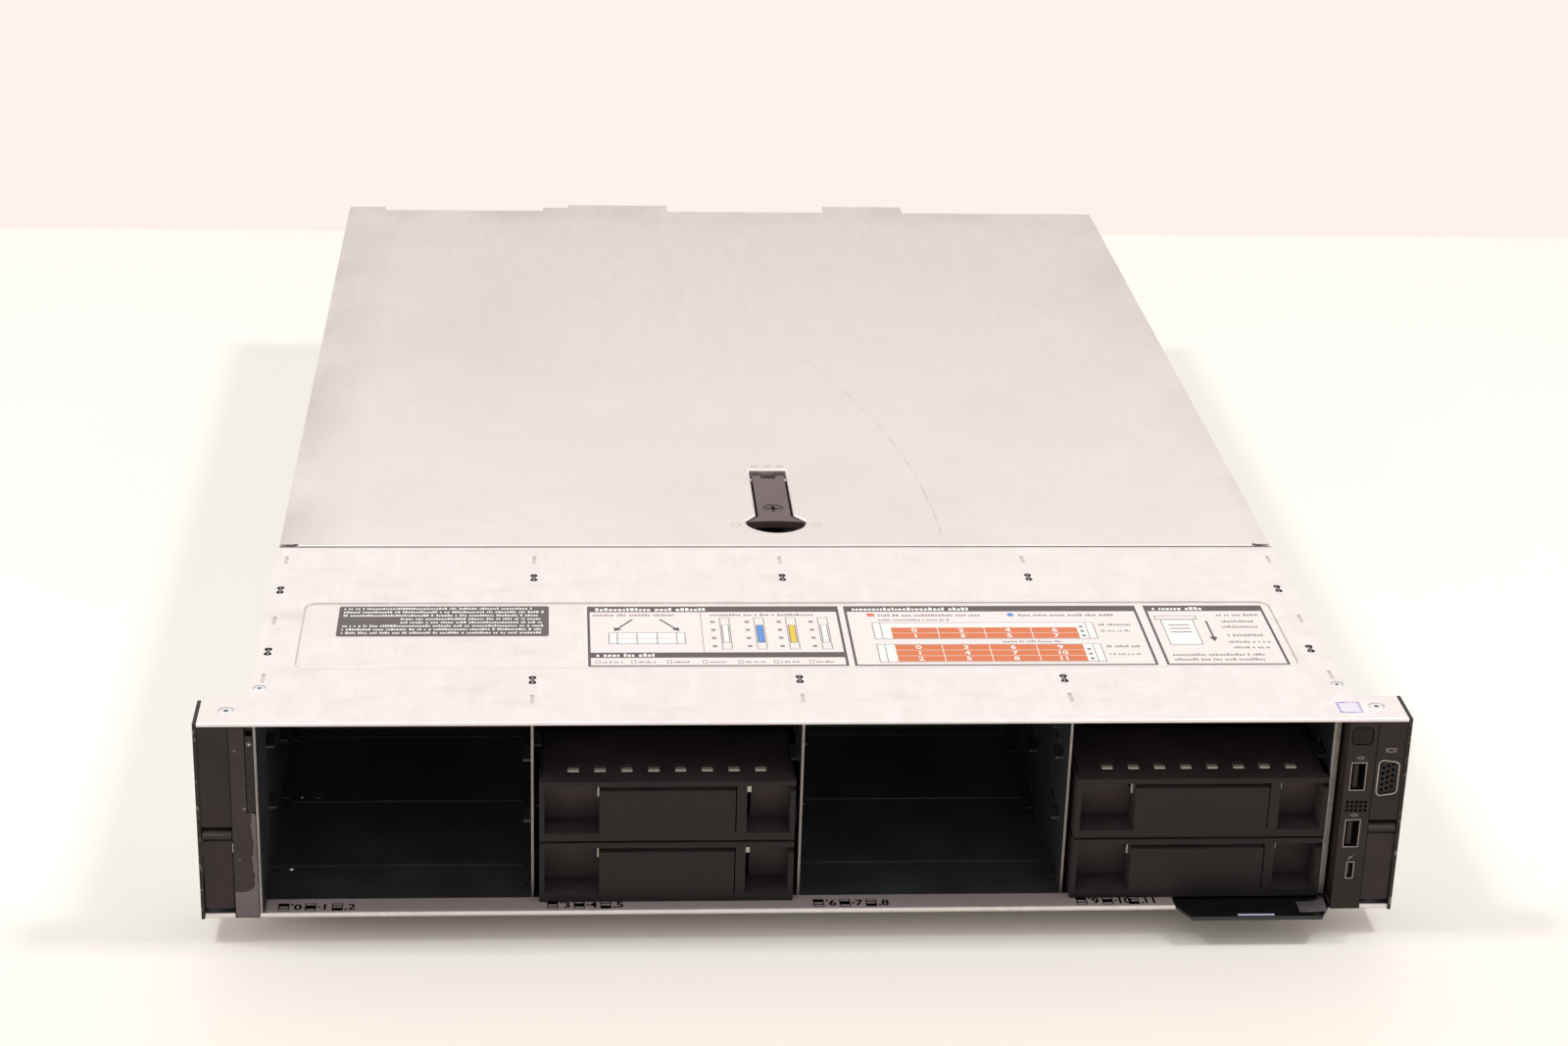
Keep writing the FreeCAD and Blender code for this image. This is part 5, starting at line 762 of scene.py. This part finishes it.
# Status box: a chassis seen from the front with arrows to both ears, then four lamp bars, and legends below.
STATUS_BARS, STATUS_BARS_Y, STATUS_RULE = ((2.5, 38), (52, 98)), 79.6, (-39.0, 44.0, -38.7, 83.0)
LAMP_BARS = {-29.0: "white", -14.5: "blue", -1.0: "yellow", 12.5: "white"}
LAMP_FRAME_HALF, LAMP_FRAME_Y = 2.2, (46.5, 78.0)
TUBE_HALF, TUBE_Y, TUBE_RULE = 1.5, (53.0, 70.5), 0.35
NOTE_X, NOTES_Y, NOTE_TALL = (-6.0, -4.2), (48.5, 56.5, 64.5, 72.5), 2.2
LEGEND_HEADER, LEGEND_TITLE, LEGEND_TITLE_LOW = (38.6, 43.6), (3.5, 30), 0.9
LEGENDS, LEGEND_START, LEGEND_STEP = 7, 3.0, 14.6
LEGEND_BOX, LEGEND_BOX_Y, LEGEND_BARS, LEGEND_BARS_Y = 2.0, (33.0, 36.2), (2.8, 11.5), 33.6
CHASSIS_SKETCH, SKETCH_EAR = (-78.0, 52.0, -46.0, 63.0), 3.4
SKETCH_SHELF, SKETCH_WALLS = (57.3, 57.6), (3.4, 11.6, 20.0, 28.2)
ARROWS, ARROW_LINE = (((-68.0, 76.0), (-74.2, 66.8)), ((-56.0, 76.0), (-49.8, 66.8))), 0.8
ARROW_TIPS = ((-75.6, 64.6), (-72.4, 66.2), (-75.6, 68.2), (-48.4, 64.6), (-48.4, 68.2), (-51.6, 66.2))

left, right = STATUS_BOX
prints["brown"].append((left + RULE, LEGEND_HEADER[0], right - RULE, LEGEND_HEADER[1]))
prints["white"] += short_bars(left + LEGEND_TITLE[0], left + LEGEND_TITLE[1],
                              LEGEND_HEADER[0] + LEGEND_TITLE_LOW, TITLE)
for start, end in STATUS_BARS:
    prints["grey"] += short_bars(left + start, left + end, STATUS_BARS_Y, LINE)
prints["grey"].append(STATUS_RULE)
for middle, fill in LAMP_BARS.items():
    prints["grey"] += edging(middle - LAMP_FRAME_HALF, LAMP_FRAME_Y[0], middle + LAMP_FRAME_HALF,
                             LAMP_FRAME_Y[1], FINE_RULE)
    u0, v0, u1, v1 = middle - TUBE_HALF, TUBE_Y[0], middle + TUBE_HALF, TUBE_Y[1]
    prints["brown"] += edging(u0, v0, u1, v1, TUBE_RULE)
    prints[fill].append((u0 + TUBE_RULE, v0 + TUBE_RULE, u1 - TUBE_RULE, v1 - TUBE_RULE))
    prints["grey"] += [(middle + NOTE_X[0], low, middle + NOTE_X[1], low + NOTE_TALL) for low in NOTES_Y]
for index in range(LEGENDS):
    spot = left + LEGEND_START + LEGEND_STEP * index
    prints["grey"] += edging(spot, LEGEND_BOX_Y[0], spot + LEGEND_BOX, LEGEND_BOX_Y[1], TUBE_RULE)
    prints["grey"] += short_bars(spot + LEGEND_BARS[0], spot + LEGEND_BARS[1], LEGEND_BARS_Y, SMALL)
u0, v0, u1, v1 = CHASSIS_SKETCH
sketch = edging(*CHASSIS_SKETCH, FINE_RULE)
sketch.append((u0 + SKETCH_EAR, SKETCH_SHELF[0], u1 - SKETCH_EAR, SKETCH_SHELF[1]))
sketch += [(u0 + wall, v0, u0 + wall + FINE_RULE, v1) for wall in SKETCH_WALLS]
prints["white"].append(CHASSIS_SKETCH)
tips = np.array(ARROW_TIPS), np.arange(len(ARROW_TIPS)).reshape(-1, 3)
arrows = together(strokes(ARROW_LINE, *ARROWS), tips)

# Chart box: two front views with numbered orange drives between white ears, and a key above.
CHARTS, CHART_COLUMNS = (((56.5, 72.0), 2, 4.4), ((34.2, 50.6), 3, 0.0)), 4
CHART_X, CHART_EAR, CHART_MARGIN, CELL_GAP = (40.5, 119.7), 7.0, 0.5, 0.17
CHART_KEY, CHART_KEY_Y = {"orange": (9.5, 12.5), "blue": (69.5, 72.0)}, (78.8, 81.8)
CHART_BARS = ((14, 58, 78.8, LINE), (74, 116, 78.8, LINE), (107, 122, 69.0, LINE), (107, 122, 47.4, LINE),
              (14, 44, 74.4, SMALL), (64, 90, 52.6, SMALL), (107, 120, 63.0, SMALL), (107, 121, 40.0, SMALL))
EAR_RULE, KEYS_X, KEYS_LOW, KEY_TALL = (3.8, 4.2), (1.0, 2.6), (1.5, 6.0, 10.5), 2.2
CELL_NUMBER_LOW, CELL_NUMBER_TALL = 0.2, 0.62

left = CHART_BOX[0]
for fill, (start, end) in CHART_KEY.items():
    prints[fill].append((left + start, CHART_KEY_Y[0], left + end, CHART_KEY_Y[1]))
for start, end, v, tall in CHART_BARS:
    prints["grey"] += short_bars(left + start, left + end, v, tall)
numbers = []
first, last = CHART_X
for (low, high), rows, spare in CHARTS:
    ears = (first - CHART_EAR, low, last + CHART_EAR, high)
    prints["grey"] += edging(ears[0] - CHART_MARGIN, low - CHART_MARGIN, ears[2] + CHART_MARGIN,
                             high + CHART_MARGIN, FINE_RULE)
    prints["white"].append(ears)
    sketch += [(first - EAR_RULE[1], low, first - EAR_RULE[0], high),
               (last + EAR_RULE[0], low, last + EAR_RULE[1], high)]
    sketch += [(last + KEYS_X[0], low + foot, last + KEYS_X[1], low + foot + KEY_TALL) for foot in KEYS_LOW]
    top = high - spare
    wide, tall = (last - first) / CHART_COLUMNS, (top - low) / rows
    for bay in range(CHART_COLUMNS * rows):
        u, v = first + bay // rows * wide, top - (bay % rows + 1) * tall
        prints["orange"].append((u + CELL_GAP, v + CELL_GAP, u + wide - CELL_GAP, v + tall - CELL_GAP))
        numbers.append((bay, u + wide / 2, v + CELL_NUMBER_LOW * tall, CELL_NUMBER_TALL * tall))

# Tag box: a tag drawn out of its slot, an arrow beside it, and rows of bars at the right and below.
TAG_BARS, TAG_BARS_END = ((78.5, 30), (72.0, 31), (66.5, 30), (58.0, 31), (51.5, 30), (46.0, 31)), 48
TAG_NOTES, TAG_NOTES_START = ((39.0, 6), (34.4, 9)), 4
TAG_CARD, TAG_SLOT = (5, 50.0, 19, 75.0), (3, 75.0, 21, 79.0)
CARD_LINES, CARD_LINE_X, CARD_LINE_TALL = (69.0, 65.5, 62.0), (7.5, 16.5), 1.0
PULL_STEM, PULL_TIP = ((24.5, 73.0), (24.5, 57.0)), ((24.5, 53.0), (26.2, 57.5), (22.8, 57.5))

left, right = TAG_BOX
for v, start in TAG_BARS:
    prints["grey"] += short_bars(left + start, left + TAG_BARS_END, v, LINE)
for v, margin in TAG_NOTES:
    prints["grey"] += short_bars(left + TAG_NOTES_START, right - margin, v, LINE)
card, slot = [(left + u0, v0, left + u1, v1) for u0, v0, u1, v1 in (TAG_CARD, TAG_SLOT)]
prints["white"].append(card)
sketch += edging(*card, FINE_RULE) + edging(*slot, FINE_RULE)
sketch += [(left + CARD_LINE_X[0], v, left + CARD_LINE_X[1], v + CARD_LINE_TALL) for v in CARD_LINES]
pull = together(strokes(ARROW_LINE, np.add(PULL_STEM, (left, 0))),
                (np.add(PULL_TIP, (left, 0)), np.array([[0, 1, 2]])))

for name, layer in INK_LAYERS.items():
    printed("label_" + name, bars(prints[name]), FILM_TOP + layer * INK, INKS[name])
printed("label_sketch", bars(sketch), FILM_TOP + SKETCH_LAYER * INK, INKS["grey"])
printed("label_arrows", together(arrows, pull), FILM_TOP + SKETCH_LAYER * INK, INKS["brown"])
printed("label_numbers", numerals(numbers), FILM_TOP + NUMBER_LAYER * INK, INKS["white"])


# Sliding cover.
# A large galvanised sheet with folded sides, dulled by handling, with painted light that makes it paler
# towards the front.
# Hands have left grey smudges along its edges, and one long scratch runs in an arc beside the latch.
SCRATCH_MIDDLE, SCRATCH_RADIUS, SCRATCH_LINE, SCRATCH_BREAK_MM = (-575.7, 165.1), 649.6, 0.35, 9.0
SCRATCH_REACH = {"x": (20.0, 90.0), "y": (168.0, 400.0)}
SMUDGE_SIDE_M, SMUDGE_REAR_M = (0.190, 0.2215), (0.626, 0.664)
SMUDGE_LEFT_M, SMUDGE_TOP_M, SMUDGE_CLOUD = (0.2, -0.2), (0.0855, 0.0866), (0.36, 0.64)
SMUDGE_MM, SMUDGE_STRETCH, HAZE_MM, PALE_M = 70.0, (2.0, 1.0, 1.0), 160.0, (0.62, 0.17)
LANCES_X, LANCE_HALF, LANCES_Y, LANCES_Z = (-6.0, 0.2, 6.4), 1.5, (249.0, 250.1), (86.5, 87.0)
DIMPLE, DIMPLE_RADIUS, DIMPLE_LINE = (18.2, 178.0), 1.9, 0.3
LANCE_DARK, DIMPLE_DARK = 0.6, 0.35
COVER_LIP_Y = (153.0, 155.4)


def round_line(add, place, middle, radius, line):
    """1 on a circle seen from above, where the distance from its middle equals its radius."""
    flat = add("Mapping", {"Vector": place, "Scale": FROM_ABOVE})
    centre = (middle[0] / METRE, middle[1] / METRE, 0)
    reach = add("VectorMath", {0: flat, 1: centre}, "Value", operation="DISTANCE")
    return add("Math", {0: reach, 1: radius / METRE, 2: line / METRE}, operation="COMPARE")


def cover(add, place):
    """Dull zinc with smudged edges, cloudy rubbing, the arc scratch, painted light at the front and painted
    shade in pressed marks.
    """
    sheet = zinc(add, place, "#e2dbd9", "#d9d2cf")
    axes = add("SeparateXYZ", {0: place}).node.outputs
    # Painted light: the sheet is drawn paler towards the front.
    far, near = PALE_M
    front = add("MapRange", {"Value": axes["Y"], "From Min": far, "From Max": near, "To Max": 0.75})
    colour = add("Mix", {0: front, 6: sheet["Base Color"], 7: "#f3ecea"}, 2, data_type="RGBA")
    haze = add("TexNoise", {"Vector": place, "Scale": METRE / HAZE_MM, "Detail": 5.0}, "Fac")
    haze = add("MapRange", {"Value": haze, "From Min": 0.5, "From Max": 0.75, "To Max": 0.2})
    colour = add("Mix", {0: haze, 6: colour, 7: "#cbc3bf"}, 2, data_type="RGBA")

    aside = add("Math", {0: axes["X"]}, operation="ABSOLUTE")
    side = add("MapRange", {"Value": aside, "From Min": SMUDGE_SIDE_M[0], "From Max": SMUDGE_SIDE_M[1]})
    rear = add("MapRange", {"Value": axes["Y"], "From Min": SMUDGE_REAR_M[0], "From Max": SMUDGE_REAR_M[1]})
    smudge = add("Math", {0: side, 1: rear}, operation="MAXIMUM")
    wiped = add("Mapping", {"Vector": place, "Scale": SMUDGE_STRETCH})
    cloud = add("TexNoise", {"Vector": wiped, "Scale": METRE / SMUDGE_MM, "Detail": 6.0}, "Fac")
    for value, ends, least, most in ((cloud, SMUDGE_CLOUD, 0.0, 0.32), (axes["X"], SMUDGE_LEFT_M, 0.6, 1.0),
                                     (axes["Z"], SMUDGE_TOP_M, 0.3, 1.0)):
        level = add("MapRange", {"Value": value, "From Min": ends[0], "From Max": ends[1], "To Min": least,
                                 "To Max": most})
        smudge = add("Math", {0: smudge, 1: level}, operation="MULTIPLY")

    arc = round_line(add, place, SCRATCH_MIDDLE, SCRATCH_RADIUS, SCRATCH_LINE)
    broken = add("TexNoise", {"Vector": place, "Scale": METRE / SCRATCH_BREAK_MM, "Detail": 4.0}, "Fac")
    wear_and_highlight = add("MapRange", {"Value": broken, "From Min": 0.38, "From Max": 0.6, "To Min": 0.03,
                            "To Max": 0.28})
    scratch = add("Math", {0: arc, 1: wear_and_highlight}, operation="MULTIPLY")
    scratch = add("Math", {0: scratch, 1: within(add, place, **SCRATCH_REACH)}, operation="MULTIPLY")

    # Painted shade: the pressed dimples and lances by the latch are drawn as darker marks.
    folded = add("VectorMath", {0: place}, operation="ABSOLUTE")
    dimple = round_line(add, folded, DIMPLE, DIMPLE_RADIUS, DIMPLE_LINE)
    pressed = add("Math", {0: dimple, 1: DIMPLE_DARK}, operation="MULTIPLY")
    for x in LANCES_X:
        lance = within(add, place, x=(x - LANCE_HALF, x + LANCE_HALF), y=LANCES_Y, z=LANCES_Z)
        pressed = add("Math", {0: lance, 1: LANCE_DARK, 2: pressed}, operation="MULTIPLY_ADD")
    for mask, dirt_and_shade in ((smudge, "#a0968f"), (scratch, "#857d78"), (pressed, "#7f7772")):
        colour = add("Mix", {0: mask, 6: colour, 7: dirt_and_shade}, 2, data_type="RGBA")
    # Painted highlight along the cover's front lip, above the seam to the panel.
    lip = within(add, place, y=COVER_LIP_Y)
    sheet["Base Color"] = add("Mix", {0: lip, 6: colour, 7: "#fdf8f6"}, 2, data_type="RGBA")
    return add("BsdfPrincipled", sheet)


paint(finish("galvanised_steel_cover", cover), "top_cover")


# Cover latch: a grey glass-filled nylon lever that lies in a flanged steel tub and turns on a steel pin.
# A slotted coin lock sits in the lever. The tub's floor is blackened; painted shade darkens the lever's nose,
# the lock's rim and its slot.
TUB_FLOOR_Z = (74.0, 77.5)
NOSE, NOSE_SHADE = {"y": (183.0, 185.0), "z": (80.0, 85.65)}, 0.5
LOCK_MIDDLE, LOCK_RIM, LOCK_LINE, SLOT_FLOOR_Z = (0.0, 200.0), 4.3, 0.35, (84.0, 85.3)


def tub(add, place):
    """Bright drawn steel whose floor is black."""
    return add("MixShader", {0: within(add, place, z=TUB_FLOOR_Z),
                             1: add("BsdfPrincipled", zinc(add, place, "#f1ecea", "#dcd6d3")),
                             2: moulded("#141312", "#0e0d0c", 0.5)(add, place)})


def greasy_nylon(add, place, shade_level):
    """Grey nylon, black with painted shade where a mask is 1."""
    return add("MixShader", {0: shade_level, 1: moulded("#69595a", "#5b4d4d", 0.42)(add, place),
                             2: moulded("#171413", "#100e0d", 0.5)(add, place)})


def lever_nylon(add, place):
    """Grey nylon with half-strength painted shade on the nose's front face."""
    # Painted shade on the nose's front face, at half strength.
    film = add("Math", {0: within(add, place, **NOSE), 1: NOSE_SHADE}, operation="MULTIPLY")
    return greasy_nylon(add, place, film)


def lock_nylon(add, place):
    """Grey nylon with painted shade in the gap round the rim and down in the slot."""
    rim = round_line(add, place, LOCK_MIDDLE, LOCK_RIM, LOCK_LINE)
    slot = within(add, place, z=SLOT_FLOOR_Z)
    return greasy_nylon(add, place, add("Math", {0: rim, 1: slot}, operation="MAXIMUM"))


paint(finish("drawn_steel_tub", tub), "latch_pan")
paint(finish("grey_nylon_lever", lever_nylon), "latch_lever")
paint(finish("grey_nylon_lock", lock_nylon), "latch_lock")
paint(finish("stainless_steel", bright_plate("#dcd8d2", "#b8b4ae", 0.3)), "latch_pin")


# Fans and the board behind them.
# Six moulded fans in a sheet cage, a board with memory and finned aluminium sinks, and a moulded air shroud.
FANS = 6

paint(black_nylon, "fan_frames", "air_shroud", *["fan_rotor_%d" % number for number in range(1, FANS + 1)])
paint(finish("glass_fibre_board", circuit("#22342a", "#18241e")), "system_board", "memory_modules")
paint(finish("extruded_aluminium", bright_plate("#d6d6d6", "#b4b4b6", 0.35)), "heat_sinks")


# Power supplies' rear fittings.
# Black moulded inlets and handles, and terracotta nylon release tabs to press by hand.
paint(black_nylon, "psu_inlet_1", "psu_inlet_2", "psu_handle_1", "psu_handle_2")
paint(finish("terracotta_nylon", moulded("#c25a34", "#ad4e2c", 0.4)), "psu_latch_1", "psu_latch_2")


# Stage: a white table, a lamp at the left and one at the right, and the camera.
# The server stands on a low block set back under it, so the table lies a little below the hem.
TABLE_Z, TABLE_HALF, TABLE_REAR_Y, MOTTLE_MM = -10.5, 4000, 930, 300.0
FRONT_SHADE_M, FADE_MIDDLE_M, FADE_M = (0.02, -0.09), (0.0, 0.3, 0.0), (0.75, 1.15)
PLINTH, PLINTH_ROUND = ((-200, 2), (200, 620)), 4.0
SKY_LIGHT, SKY_SEEN = 0.68, 1.0
LAMPS_M = {"lamp_left": (-1.15, 0.07, 1.85), "lamp_right": (1.15, 0.07, 1.85)}
LAMP_SIZE_M, LAMP_AIM_M, LAMP_POWER = 0.3, (0.0, 0.2, 0.05), 12.5
CAMERA_MM, SENSOR_MM, CLIP_END_M = (-100.9, -1094.1, 622.7), 36.0, 20
FOCAL_PX, CENTRE_PX, PICTURE_PX = 3116.9, (767.9, 538.7), (1600, 1067)
YAW, PITCH, ROLL = np.radians((4.05, 22.851, 1.562))


def directly_seen(add):
    """1 for rays of the camera, mirrored rays and rays through clear film, else 0."""
    rays = add("LightPath", {}).node.outputs
    seen = add("Math", {0: rays["Is Camera Ray"], 1: rays["Is Glossy Ray"]}, operation="MAXIMUM")
    return add("Math", {0: seen, 1: rays["Is Transmission Ray"]}, operation="MAXIMUM")


def table_paint(add, place):
    """White paint, faintly mottled, with a warmer painted shade in front of the server, that fades to plain
    white far away.
    """
    depth = add("SeparateXYZ", {0: place}, "Y")
    cloud = add("TexNoise", {"Vector": place, "Scale": METRE / MOTTLE_MM}, "Fac")
    white = add("Mix", {0: cloud, 6: "#fbfbf4", 7: "#fffffa"}, 2, data_type="RGBA")
    # Painted shade: a warmer, darker tone on the table just in front of the server.
    front_shade = add("MapRange", {"Value": depth, "From Min": FRONT_SHADE_M[0], "From Max": FRONT_SHADE_M[1]})
    tone = add("Mix", {0: front_shade, 6: white, 7: "#fff8ef"}, 2, data_type="RGBA")
    top = add("BsdfPrincipled", {"Base Color": tone, "Roughness": 0.5, "Specular IOR Level": 0.3})
    reach = add("VectorMath", {0: place, 1: FADE_MIDDLE_M}, "Value", operation="DISTANCE")
    away = add("MapRange", {"Value": reach, "From Min": FADE_M[0], "From Max": FADE_M[1]})
    plain = add("Math", {0: away, 1: directly_seen(add)}, operation="MULTIPLY")
    return add("MixShader", {0: plain, 1: top, 2: add("Emission", {"Color": "#fefcf4"})})


corners = [(-TABLE_HALF, -TABLE_HALF, TABLE_Z), (TABLE_HALF, -TABLE_HALF, TABLE_Z),
           (TABLE_HALF, TABLE_REAR_Y, TABLE_Z), (-TABLE_HALF, TABLE_REAR_Y, TABLE_Z)]
points, faces = rounded_plate(*PLINTH, PLINTH_ROUND, -TABLE_Z)
# The block is dark grey as painted shade, to deepen the shadow under the hem.
dark_shade_block = finish("dark_shade_block", moulded("#2d2a28", "#252321", 0.7))
piece("table", corners, [(0, 1, 2, 3)], finish("white_table_paint", table_paint))
piece("plinth", points + (0, 0, TABLE_Z), faces, dark_shade_block)

world = bpy.data.worlds.new("studio")
world.use_nodes = True
world.node_tree.nodes.clear()


def sky(kind, inputs, out=0, **settings):
    """Add a node to the world."""
    return node(world.node_tree, kind, inputs, out, **settings)


strength = sky("MapRange", {"Value": directly_seen(sky), "To Min": SKY_LIGHT, "To Max": SKY_SEEN})
camera_ray = sky("LightPath", {}, "Is Camera Ray")
white = sky("Mix", {0: camera_ray, 6: "#fffaf7", 7: "#fdf3ea"}, 2, data_type="RGBA")
sky("OutputWorld", {"Surface": sky("Background", {"Color": white, "Strength": strength})})
bpy.context.scene.world = world
bpy.context.scene.view_settings.view_transform = "Standard"

for name, place in LAMPS_M.items():
    lamp = bpy.data.lights.new(name, "AREA")
    lamp.energy, lamp.size = LAMP_POWER, LAMP_SIZE_M
    holder = bpy.data.objects.new(name, lamp)
    holder.location = place
    aim = np.array(LAMP_AIM_M) - place
    tilt, heading = math.acos(-aim[2] / np.linalg.norm(aim)), math.atan2(aim[1], aim[0]) - math.pi / 2
    holder.rotation_euler = (tilt, 0, heading)
    bpy.context.scene.collection.objects.link(holder)

ahead = np.array([math.sin(YAW) * math.cos(PITCH), math.cos(YAW) * math.cos(PITCH), -math.sin(PITCH)])
level_right = np.array([math.cos(YAW), -math.sin(YAW), 0.0])
level_up = np.cross(level_right, ahead)
lens = bpy.data.cameras.new("camera")
lens.sensor_width = SENSOR_MM
lens.lens = FOCAL_PX / PICTURE_PX[0] * SENSOR_MM
lens.shift_x = (PICTURE_PX[0] / 2 - CENTRE_PX[0]) / PICTURE_PX[0]
lens.shift_y = (CENTRE_PX[1] - PICTURE_PX[1] / 2) / PICTURE_PX[0]
lens.clip_end = CLIP_END_M
camera = bpy.data.objects.new("camera", lens)
stand = np.eye(4)
stand[:3, 0] = math.cos(ROLL) * level_right + math.sin(ROLL) * level_up
stand[:3, 1] = math.cos(ROLL) * level_up - math.sin(ROLL) * level_right
stand[:3, 2], stand[:3, 3] = -ahead, np.array(CAMERA_MM) / METRE
camera.matrix_world = stand.T.tolist()
bpy.context.scene.collection.objects.link(camera)
bpy.context.scene.camera = camera
